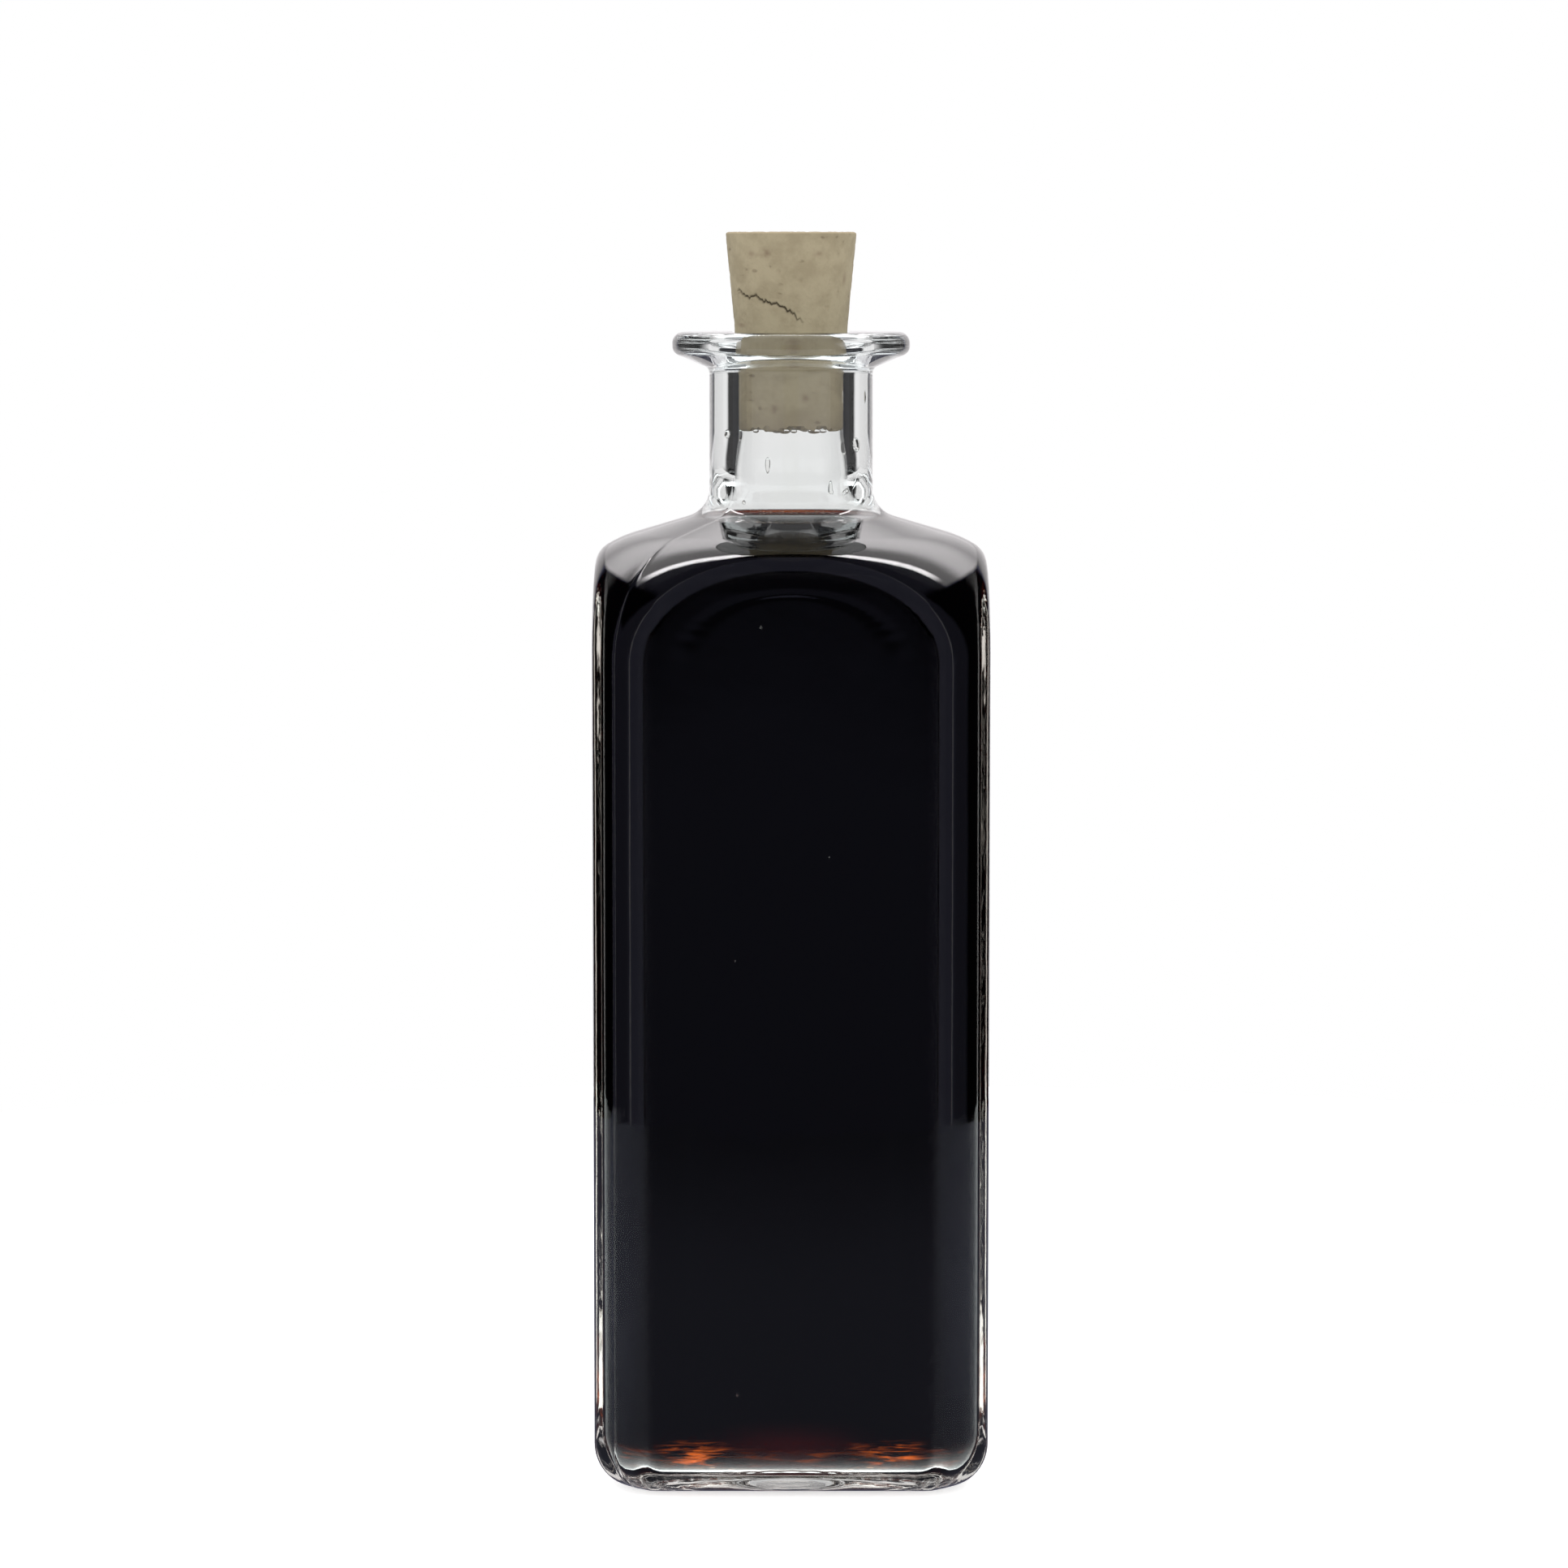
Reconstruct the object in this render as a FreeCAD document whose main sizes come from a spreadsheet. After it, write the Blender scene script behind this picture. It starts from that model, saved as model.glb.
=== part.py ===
import FreeCAD, Part
import math
import os
import Sketcher

# Square apothecary bottle of clear glass, filled to the foot of its neck and stopped with a tapered cork.
# Four flat panels with arched tops are cut from a round-shouldered body, and every panel's edge is
# rounded into the shoulder, the corners and the heel.
# Millimetres. The origin is the centre of the base, and +Z points up through the neck.

document = FreeCAD.newDocument("apothecary_bottle")

# Every size that can be set by itself, and what it measures.
SIZES = [
    ("body_width", 66.4, "across two opposite flat panels"),
    ("corner_stand", 8.7, "how much further out than the panels the corners stand"),
    ("heel_radius", 7.9, "rounding from the sides to the base"),
    ("panel_edge_radius", 4.2, "rounding all around each arched panel"),
    ("shoulder_radius", 21.5, "curve of the shoulder down to the corners"),
    ("shoulder_fall", 16.6, "degrees by which the top of the shoulder falls outwards"),
    ("foot_radius", 5.1, "hollow curve between shoulder and neck"),
    ("neck_diameter", 27.8, "outside of the neck"),
    ("glass_height", 194.5, "base to the top of the lip"),
    ("neck_length", 30.2, "top of the lip to where the neck would meet the shoulder"),
    ("lip_stand", 6.3, "how far the lip stands out from the neck"),
    ("lip_edge", 3.5, "height of the lip's upright edge"),
    ("lip_slope", 23.0, "degrees by which the lip's underside rises outwards"),
    ("lip_top_round", 1.9, "rounding of the lip's upper edge"),
    ("lip_low_round", 1.6, "rounding of the lip's lower edge"),
    ("lip_neck_round", 1.2, "hollow curve between lip and neck"),
    ("mouth_round", 0.8, "rounding of the mouth"),
    ("wall", 3.4, "glass of a flat panel"),
    ("corner_wall", 3.8, "glass of a corner"),
    ("shoulder_wall", 3.6, "glass of the shoulder, measured upright"),
    ("base_wall", 4.4, "glass of the base near its rim"),
    ("inner_heel_radius", 5.0, "rounding inside above the base"),
    ("inner_edge_extra", 1.0, "how much rounder the inside corners are than that"),
    ("inner_foot_radius", 8.3, "curve inside between shoulder and neck"),
    ("base_ring", 5.3, "flat ring that the bottle stands on"),
    ("punt_depth", 2.2, "depth of the hollow under the base"),
    ("floor_ring", 3.8, "flat ring round the raised floor inside"),
    ("rise_height", 2.6, "height of the raised floor inside"),
    ("neck_wall", 4.3, "glass of the neck at its mouth"),
    ("mouth_depth", 7.6, "depth over which the mouth narrows"),
    ("mouth_narrowing", 1.3, "how much narrower the bore is where it grips the cork"),
    ("bore_widening", 4.2, "how much wider the bore is at the foot of the neck"),
    ("foot_bore_drop", 9.4, "height over which the bore widens"),
    ("cork_flare", 3.3, "how much wider the top of the cork is than the mouth"),
    ("cork_stand", 17.0, "cork above the lip"),
    ("cork_depth", 16.7, "cork below the top of the lip"),
    ("bore_spare", 0.2, "straight bore below the cork"),
    ("cork_edge", 0.5, "rounding of the cork's ends"),
    ("cork_clearance", 0.03, "between the cork and the bore"),
    ("drink_drop", 3.9, "surface of the drink below the foot of the neck"),
    ("drink_clearance", 0.05, "between the drink and the glass"),
]

# What follows from those sizes.
RESULTS = [
    ("half_width", "body_width / 2"),
    ("corner_radius", "half_width + corner_stand"),
    ("neck_radius", "neck_diameter / 2"),
    ("lip_radius", "neck_radius + lip_stand"),
    ("mouth_radius", "neck_radius - neck_wall"),
    ("bore_radius", "mouth_radius - mouth_narrowing / 2"),
    ("foot_bore_radius", "bore_radius + bore_widening / 2"),
    ("foot_height", "glass_height - neck_length"),
    ("drink_level", "foot_height - drink_drop"),
    ("bore_depth", "cork_depth + bore_spare"),
    ("inner_edge_radius", "inner_heel_radius + inner_edge_extra"),
    ("punt_radius", "half_width - heel_radius - base_ring"),
    ("rise_radius", "half_width - wall - inner_heel_radius - floor_ring"),
    ("heel_across", "half_width - heel_radius"),
    ("corner_heel_across", "corner_radius - heel_radius"),
    ("shoulder_height", "foot_height - (corner_radius - neck_radius) * tan(shoulder_fall * 1 deg)"),
    ("lip_side_low", "glass_height - lip_edge"),
    ("lip_neck_height", "lip_side_low - (lip_radius - neck_radius) * tan(lip_slope * 1 deg)"),
    ("mouth_low", "glass_height - mouth_depth"),
    ("bore_low", "glass_height - bore_depth"),
    ("foot_bore_top", "bore_low - foot_bore_drop"),
    ("cork_low", "glass_height - cork_depth"),
    ("cork_high", "glass_height + cork_stand"),
    ("cork_top_radius", "mouth_radius + cork_flare / 2"),
    ("cork_mouth_radius", "mouth_radius - cork_clearance"),
    ("cork_bore_radius", "bore_radius - cork_clearance"),
    ("clear_across", "corner_radius * 2"),
    ("clear_behind", "0 - clear_across"),
    ("clear_below", "0 - heel_radius"),
    ("clear_above", "glass_height + cork_stand + heel_radius"),
]

# The hollow inside the glass, and the drink that fills it with its clearance, follow one recipe.
for part, gap in (("hollow", "0"), ("drink", "drink_clearance")):
    RESULTS += [
        (part + "_half", "half_width - wall - " + gap),
        (part + "_corner", "corner_radius - corner_wall - " + gap),
        (part + "_floor", "base_wall + " + gap),
        (part + "_neck", "foot_bore_radius - " + gap),
        (part + "_line", "foot_height - shoulder_wall - " + gap + " / cos(shoulder_fall * 1 deg)"),
        (part + "_shoulder", part + "_line - (" + part + "_corner - neck_radius) * tan(shoulder_fall * 1 deg)"),
        (part + "_foot", part + "_line + (neck_radius - " + part + "_neck) * tan(shoulder_fall * 1 deg)"),
        (part + "_shoulder_radius", "shoulder_radius - shoulder_wall - " + gap),
        (part + "_foot_radius", "inner_foot_radius + " + gap),
        (part + "_edge_radius", "inner_edge_radius - " + gap),
        (part + "_heel_radius", "inner_heel_radius - " + gap),
        (part + "_rise", part + "_floor + rise_height"),
    ]

sheet = document.addObject("Spreadsheet::Sheet", "dims")
sheet.Label = "dimensions"
line = 0
for name, size, meaning in SIZES:
    line += 1
    sheet.set("A%d" % line, name)
    sheet.set("B%d" % line, str(size))
    sheet.set("C%d" % line, meaning)
    sheet.setAlias("B%d" % line, name)
for name, formula in RESULTS:
    line += 1
    sheet.set("A%d" % line, name)
    sheet.set("B%d" % line, "=" + formula)
    sheet.setAlias("B%d" % line, name)
document.recompute()


def size_of(name):
    value = getattr(sheet, name)
    return float(getattr(value, "Value", value))


def add_body(name, label):
    body = document.addObject("PartDesign::Body", name)
    body.Label = label
    return body


def add_sketch(body, name):
    """A sketch on the body's own upright XZ plane: across is X, up is Z."""
    sketch = body.newObject("Sketcher::SketchObject", name)
    for feature in body.Origin.OriginFeatures:
        if feature.Role == "XZ_Plane":
            sketch.AttachmentSupport = [(feature, "")]
    sketch.MapMode = "FlatFace"
    return sketch


def pin_point(sketch, curve, end, name, across, up):
    """Hold one end of a curve at two sizes of the sheet. None keeps the end on that axis."""
    if across is None:
        sketch.addConstraint(Sketcher.Constraint("PointOnObject", curve, end, -2))
    else:
        index = sketch.addConstraint(Sketcher.Constraint("DistanceX", -1, 1, curve, end, size_of(across)))
        sketch.renameConstraint(index, name + "_across")
        sketch.setExpression("Constraints." + name + "_across", "dims." + across)
    if up is None:
        sketch.addConstraint(Sketcher.Constraint("PointOnObject", curve, end, -1))
    else:
        index = sketch.addConstraint(Sketcher.Constraint("DistanceY", -1, 1, curve, end, size_of(up)))
        sketch.renameConstraint(index, name + "_up")
        sketch.setExpression("Constraints." + name + "_up", "dims." + up)


def spot(across, up):
    return FreeCAD.Vector(size_of(across) if across else 0.0, size_of(up) if up else 0.0, 0.0)


def draw_outline(sketch, corners):
    """A closed outline of straight lines through the named corners."""
    count = len(corners)
    for step in range(count):
        here = corners[step]
        there = corners[(step + 1) % count]
        sketch.addGeometry(Part.LineSegment(spot(here[1], here[2]), spot(there[1], there[2])), False)
    for step in range(count):
        sketch.addConstraint(Sketcher.Constraint("Coincident", step, 2, (step + 1) % count, 1))
    for step in range(count):
        name, across, up = corners[step]
        pin_point(sketch, step, 1, name, across, up)


def revolve(body, name, sketch):
    feature = body.newObject("PartDesign::Revolution", name)
    feature.Profile = sketch
    feature.ReferenceAxis = (sketch, ["V_Axis"])
    feature.Angle = 360.0
    sketch.Visibility = False
    document.recompute()
    return feature


def round_edges(body, name, base, edges, radius):
    if not edges:
        raise RuntimeError("no edge for " + name)
    feature = body.newObject("PartDesign::Fillet", name)
    feature.Base = (base, edges)
    feature.setExpression("Radius", "dims." + radius)
    document.recompute()
    return feature


def ring_edges(feature, radius, height):
    """The names of the edges that run round the axis at one radius and one height."""
    names = []
    for index, edge in enumerate(feature.Shape.Edges, start=1):
        box = edge.BoundBox
        level = size_of(height) if height else 0.0
        if max(abs(box.ZMin - level), abs(box.ZMax - level)) > 0.005:
            continue
        if max(abs(box.XMax - size_of(radius)), abs(box.XMin + size_of(radius))) > 0.005:
            continue
        names.append("Edge%d" % index)
    return names


def round_ring(body, name, base, radius, height, round_radius):
    return round_edges(body, name, base, ring_edges(base, radius, height), round_radius)


def is_panel(face):
    return isinstance(face.Surface, Part.Plane) and abs(face.Surface.Axis.z) < 0.01


def panel_edges(feature):
    """The edges where a flat upright panel meets the shoulder or a corner."""
    names = []
    for index, edge in enumerate(feature.Shape.Edges, start=1):
        faces = [face for face in feature.Shape.Faces if any(edge.isSame(other) for other in face.Edges)]
        if len(faces) != 2:
            continue
        if is_panel(faces[0]) == is_panel(faces[1]):
            continue
        neighbour = faces[1] if is_panel(faces[0]) else faces[0]
        if isinstance(neighbour.Surface, Part.Plane):
            continue
        names.append("Edge%d" % index)
    return names


def floor_edges(feature, floor):
    """The edges all round a flat floor."""
    names = []
    for index, edge in enumerate(feature.Shape.Edges, start=1):
        box = edge.BoundBox
        if abs(box.ZMin - size_of(floor)) < 0.0005 and abs(box.ZMax - size_of(floor)) < 0.0005:
            names.append("Edge%d" % index)
    return names


def draw_heel(sketch, outside, across):
    """What lies outside the rounded heel, below one outside size of the glass."""
    circle = Part.Circle(spot(across, "heel_radius"), FreeCAD.Vector(0, 0, 1), size_of("heel_radius"))
    sketch.addGeometry(Part.ArcOfCircle(circle, math.radians(270), math.radians(360)), False)
    stops = [
        (outside, "heel_radius"),
        ("clear_across", "heel_radius"),
        ("clear_across", "clear_below"),
        (across, "clear_below"),
        (across, None),
    ]
    for here, there in zip(stops[:-1], stops[1:]):
        sketch.addGeometry(Part.LineSegment(spot(here[0], here[1]), spot(there[0], there[1])), False)
    for step in range(4):
        sketch.addConstraint(Sketcher.Constraint("Coincident", step, 2, step + 1, 1))
    sketch.addConstraint(Sketcher.Constraint("Coincident", 4, 2, 0, 1))
    sketch.addConstraint(Sketcher.Constraint("Vertical", 4))
    pin_point(sketch, 0, 3, "centre", across, "heel_radius")
    pin_point(sketch, 1, 1, "side", outside, "heel_radius")
    pin_point(sketch, 2, 1, "far_high", "clear_across", "heel_radius")
    pin_point(sketch, 3, 1, "far_low", "clear_across", "clear_below")
    pin_point(sketch, 4, 1, "under", across, "clear_below")
    document.recompute()


def draw_plain_side(sketch, half):
    """What lies outside a flat side of the hollow."""
    draw_outline(sketch, [
        ("near_low", half, "clear_below"),
        ("far_low", "clear_across", "clear_below"),
        ("far_high", "clear_across", "clear_above"),
        ("near_high", half, "clear_above"),
    ])


def cut_sides(body, part, base, sketch):
    """Cut one side away through the whole depth, and repeat it on all four sides."""
    before = base.Shape.Volume
    document.recompute()
    pocket = body.newObject("PartDesign::Pocket", part + "_cut")
    pocket.Profile = sketch
    pocket.Type = "ThroughAll"
    pocket.SideType = "Symmetric"
    sketch.Visibility = False
    document.recompute()
    pattern = body.newObject("PartDesign::PolarPattern", part + "_round")
    pattern.Originals = [pocket]
    for feature in body.Origin.OriginFeatures:
        if feature.Role == "Z_Axis":
            pattern.Axis = (feature, [""])
    pattern.Angle = 360.0
    pattern.Occurrences = 4
    body.Tip = pattern
    document.recompute()
    if not pattern.Shape.Volume < pocket.Shape.Volume < before:
        raise RuntimeError(part + " takes nothing away")
    return pattern


def groove(body, name, sketch):
    """Turn a sketch about the axis and take it away."""
    before = body.Shape.Volume
    feature = body.newObject("PartDesign::Groove", name)
    feature.Profile = sketch
    feature.ReferenceAxis = (sketch, ["V_Axis"])
    feature.Angle = 360.0
    sketch.Visibility = False
    document.recompute()
    if not feature.Shape.Volume < before:
        raise RuntimeError(name + " takes nothing away")
    return feature


def hollow_floor(body, part, floor, radius, rise):
    """Push the floor up in the middle as a shallow round dome."""
    sketch = add_sketch(body, part + "_outline")
    low = size_of(floor) if floor else 0.0
    high = size_of(rise)
    across = size_of(radius)
    sphere = (across * across + (high - low) * (high - low)) / (2 * (high - low))
    circle = Part.Circle(FreeCAD.Vector(0, high - sphere, 0), FreeCAD.Vector(0, 0, 1), sphere)
    rim = FreeCAD.Vector(across, low, 0)
    top = FreeCAD.Vector(0, high, 0)
    start = circle.parameter(rim)
    stop = circle.parameter(top)
    sketch.addGeometry(Part.ArcOfCircle(circle, start, stop), False)
    sketch.addGeometry(Part.LineSegment(top, FreeCAD.Vector(0, low, 0)), False)
    sketch.addGeometry(Part.LineSegment(FreeCAD.Vector(0, low, 0), rim), False)
    sketch.addConstraint(Sketcher.Constraint("Coincident", 0, 2, 1, 1))
    sketch.addConstraint(Sketcher.Constraint("Coincident", 1, 2, 2, 1))
    sketch.addConstraint(Sketcher.Constraint("Coincident", 2, 2, 0, 1))
    sketch.addConstraint(Sketcher.Constraint("PointOnObject", 0, 3, -2))
    pin_point(sketch, 0, 1, "rim", radius, floor)
    pin_point(sketch, 0, 2, "top", None, rise)
    pin_point(sketch, 2, 1, "middle", None, floor)
    document.recompute()
    return groove(body, part, sketch)


def hollow_core(part, label):
    """The space inside the glass: round shoulder, four flat sides, raised floor, narrowing neck."""
    body = add_body(part, label)
    sketch = add_sketch(body, part + "_outline")
    corners = [
        ("floor_middle", None, part + "_floor"),
        ("floor_rim", part + "_corner", part + "_floor"),
        ("shoulder", part + "_corner", part + "_shoulder"),
        ("foot", part + "_neck", part + "_foot"),
    ]
    if part == "hollow":
        corners += [
            ("foot_bore", "hollow_neck", "foot_bore_top"),
            ("bore_low", "bore_radius", "bore_low"),
            ("mouth_low", "bore_radius", "mouth_low"),
            ("mouth", "mouth_radius", "glass_height"),
            ("above", "mouth_radius", "clear_above"),
            ("above_middle", None, "clear_above"),
        ]
    else:
        corners += [
            ("above", "drink_neck", "clear_above"),
            ("above_middle", None, "clear_above"),
        ]
    draw_outline(sketch, corners)
    document.recompute()
    feature = revolve(body, part + "_turned", sketch)
    feature = round_ring(body, part + "_shoulder_curve", feature, part + "_corner", part + "_shoulder",
                         part + "_shoulder_radius")
    feature = round_ring(body, part + "_foot_curve", feature, part + "_neck", part + "_foot",
                         part + "_foot_radius")
    side = add_sketch(body, part + "_side_outline")
    draw_plain_side(side, part + "_half")
    feature = cut_sides(body, part + "_side", feature, side)
    feature = round_edges(body, part + "_side_edges", feature, panel_edges(feature), part + "_edge_radius")
    feature = round_edges(body, part + "_heel", feature, floor_edges(feature, part + "_floor"),
                          part + "_heel_radius")
    feature = hollow_floor(body, part + "_raised_floor", part + "_floor", "rise_radius", part + "_rise")
    body.Tip = feature
    return body


# Bottle glass: the turned outside with its lip, neck, shoulder and heel.
bottle = add_body("bottle_glass", "bottle glass")
outline = add_sketch(bottle, "bottle_outline")
draw_outline(outline, [
    ("base_middle", None, None),
    ("base_rim", "corner_radius", None),
    ("shoulder", "corner_radius", "shoulder_height"),
    ("foot", "neck_radius", "foot_height"),
    ("lip_neck", "neck_radius", "lip_neck_height"),
    ("lip_low", "lip_radius", "lip_side_low"),
    ("lip_top", "lip_radius", "glass_height"),
    ("top_middle", None, "glass_height"),
])
document.recompute()
glass = revolve(bottle, "bottle_turned", outline)
glass = round_ring(bottle, "shoulder_curve", glass, "corner_radius", "shoulder_height", "shoulder_radius")
glass = round_ring(bottle, "foot_curve", glass, "neck_radius", "foot_height", "foot_radius")
glass = round_ring(bottle, "lip_neck_curve", glass, "neck_radius", "lip_neck_height", "lip_neck_round")
glass = round_ring(bottle, "lip_low_curve", glass, "lip_radius", "lip_side_low", "lip_low_round")
glass = round_ring(bottle, "lip_top_curve", glass, "lip_radius", "glass_height", "lip_top_round")

# Four flat panels with arched tops and rounded edges. The heel is rounded under the corners, then under
# the panels, and the middle of the base is hollowed.
side = add_sketch(bottle, "panel_outline")
draw_plain_side(side, "half_width")
glass = cut_sides(bottle, "panel", glass, side)
glass = round_edges(bottle, "panel_rounding", glass, panel_edges(glass), "panel_edge_radius")
corner_heel = add_sketch(bottle, "corner_heel_outline")
draw_heel(corner_heel, "corner_radius", "corner_heel_across")
glass = groove(bottle, "corner_heel", corner_heel)
panel_heel = add_sketch(bottle, "panel_heel_outline")
draw_heel(panel_heel, "half_width", "heel_across")
glass = cut_sides(bottle, "panel_heel", glass, panel_heel)
glass = hollow_floor(bottle, "punt", None, "punt_radius", "punt_depth")
bottle.Tip = glass

# The hollow inside, taken out of the glass, and the rounded mouth.
hollow = hollow_core("hollow", "hollow of the bottle")
solid_volume = bottle.Shape.Volume
opened = bottle.newObject("PartDesign::Boolean", "opened")
opened.setObjects([hollow])
opened.Type = "Cut"
bottle.Tip = opened
document.recompute()
if not opened.Shape.Volume < solid_volume:
    raise RuntimeError("the hollow takes nothing away")
glass = round_ring(bottle, "mouth_curve", opened, "mouth_radius", "glass_height", "mouth_round")
bottle.Tip = glass

# Drink: the same hollow with its clearance, level at the foot of the neck.
drink = hollow_core("drink", "drink")
level = add_sketch(drink, "level_outline")
draw_outline(level, [
    ("left_low", "clear_behind", "drink_level"),
    ("right_low", "clear_across", "drink_level"),
    ("right_high", "clear_across", "clear_above"),
    ("left_high", "clear_behind", "clear_above"),
])
document.recompute()
full_volume = drink.Shape.Volume
levelled = drink.newObject("PartDesign::Pocket", "levelled")
levelled.Profile = level
levelled.Type = "ThroughAll"
levelled.SideType = "Symmetric"
level.Visibility = False
drink.Tip = levelled
document.recompute()
if not levelled.Shape.Volume < full_volume:
    raise RuntimeError("the level takes nothing away")

# Cork: tapered above the lip and through the mouth, then held straight by the bore.
cork = add_body("cork", "cork")
plug = add_sketch(cork, "cork_outline")
draw_outline(plug, [
    ("low_middle", None, "cork_low"),
    ("low_rim", "cork_bore_radius", "cork_low"),
    ("bore", "cork_bore_radius", "mouth_low"),
    ("mouth", "cork_mouth_radius", "glass_height"),
    ("high_rim", "cork_top_radius", "cork_high"),
    ("high_middle", None, "cork_high"),
])
document.recompute()
stopper = revolve(cork, "cork_turned", plug)
ends = ring_edges(stopper, "cork_bore_radius", "cork_low")
ends += ring_edges(stopper, "cork_top_radius", "cork_high")
stopper = round_edges(cork, "cork_ends", stopper, ends, "cork_edge")
cork.Tip = stopper
document.recompute()

for thing in document.Objects:
    if "Invalid" in thing.State or "Error" in thing.State:
        raise RuntimeError(thing.Name + " did not build: " + str(thing.State))
os.makedirs("parts", exist_ok=True)
for node, body in (("bottle_glass", bottle), ("drink", drink), ("cork", cork)):
    shape = body.Shape
    if shape.isNull() or not shape.isValid() or len(shape.Solids) != 1:
        raise RuntimeError(node + " is not one sound solid")
    shape.exportStep("parts/" + node + ".step")
    box = shape.BoundBox
    print(node, "volume %.0f" % shape.Volume, "faces %d" % len(shape.Faces),
          "from %.2f %.2f %.2f" % (box.XMin, box.YMin, box.ZMin),
          "to %.2f %.2f %.2f" % (box.XMax, box.YMax, box.ZMax))
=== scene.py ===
import math

import bpy
import numpy as np
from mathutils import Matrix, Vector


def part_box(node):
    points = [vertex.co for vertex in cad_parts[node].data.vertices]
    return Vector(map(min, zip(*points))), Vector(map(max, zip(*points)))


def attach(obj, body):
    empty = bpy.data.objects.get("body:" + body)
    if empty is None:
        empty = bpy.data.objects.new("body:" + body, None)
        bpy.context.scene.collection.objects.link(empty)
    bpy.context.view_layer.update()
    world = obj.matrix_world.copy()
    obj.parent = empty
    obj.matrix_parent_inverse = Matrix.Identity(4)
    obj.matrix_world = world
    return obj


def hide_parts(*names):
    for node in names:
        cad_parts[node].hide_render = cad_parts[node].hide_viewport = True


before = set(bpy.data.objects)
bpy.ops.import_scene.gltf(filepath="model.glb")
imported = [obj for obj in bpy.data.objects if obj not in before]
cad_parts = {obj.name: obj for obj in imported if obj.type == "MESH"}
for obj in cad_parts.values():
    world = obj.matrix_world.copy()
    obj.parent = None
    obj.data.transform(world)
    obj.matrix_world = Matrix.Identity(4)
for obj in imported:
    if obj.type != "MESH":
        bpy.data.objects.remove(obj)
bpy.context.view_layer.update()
GLASS_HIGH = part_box("bottle_glass")[1]
DRINK_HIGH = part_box("drink")[1]
CORK_LOW, CORK_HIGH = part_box("cork")

bl_info = {
    "name": "Apothecary Bottle",
    "version": (1, 0, 0),
    "blender": (4, 5, 0),
    "location": "3D View > Sidebar > Bottle",
    "description": "Builds a square corked bottle of dark drink around its CAD frame",
    "category": "Add Mesh",
}

# Wave and scatter patterns start from these numbers, so every run gives the same bottle.
CORK_SEED = 11
BEAD_SEED = 5

MM = 0.001
WHITE = (1.0, 1.0, 1.0, 1.0)
BLACK = (0.0, 0.0, 0.0)

# Columns of points stand this far beside the end of a panel's flat, to carry the crease there.
CREASE_COLUMNS = (-0.00050, -0.00034, -0.00017)
CREASE_WIDTH = 0.00030
FLAT_COLUMNS_STOP = 0.0007
# Shares of the rounding between a panel and its corner, left before the corner, where columns stand.
CORNER_COLUMNS = (1.0, 0.70, 0.42, 0.20, 0.075, 0.035)
# Height at which a panel's dish ends, near the top of its arch.
DISH_TOP = 0.152
# The neck is fire-polished: this share of the mould seam is left on it, and the rest fades over this height.
SEAM_LEFT = 0.1
SEAM_FADE = 0.004
SEAM_TURN = 45.0
# The ring of bumps under the base is this much wider than a bump.
BUMP_RING = 1.15
# Rounding where the mouth stops narrowing, on the glass and on the cork pressed into it.
GRIP_ROUNDING = 0.004
# How many climb widths from the wall the drink's surface has close rows of points.
CLIMB_SPAN = 3.2


def length(name, default, description):
    return bpy.props.FloatProperty(name=name, description=description, default=default, unit="LENGTH",
                                   subtype="DISTANCE", precision=5, min=0.0)


def angle(name, default, description):
    return bpy.props.FloatProperty(name=name, description=description, default=math.radians(default),
                                   unit="ROTATION", subtype="ANGLE")


def colour(name, default, description):
    return bpy.props.FloatVectorProperty(name=name, description=description, default=default, size=3,
                                         subtype="COLOR", min=0.0, max=1.0)


def number(name, default, description):
    return bpy.props.FloatProperty(name=name, description=description, default=default)


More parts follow.
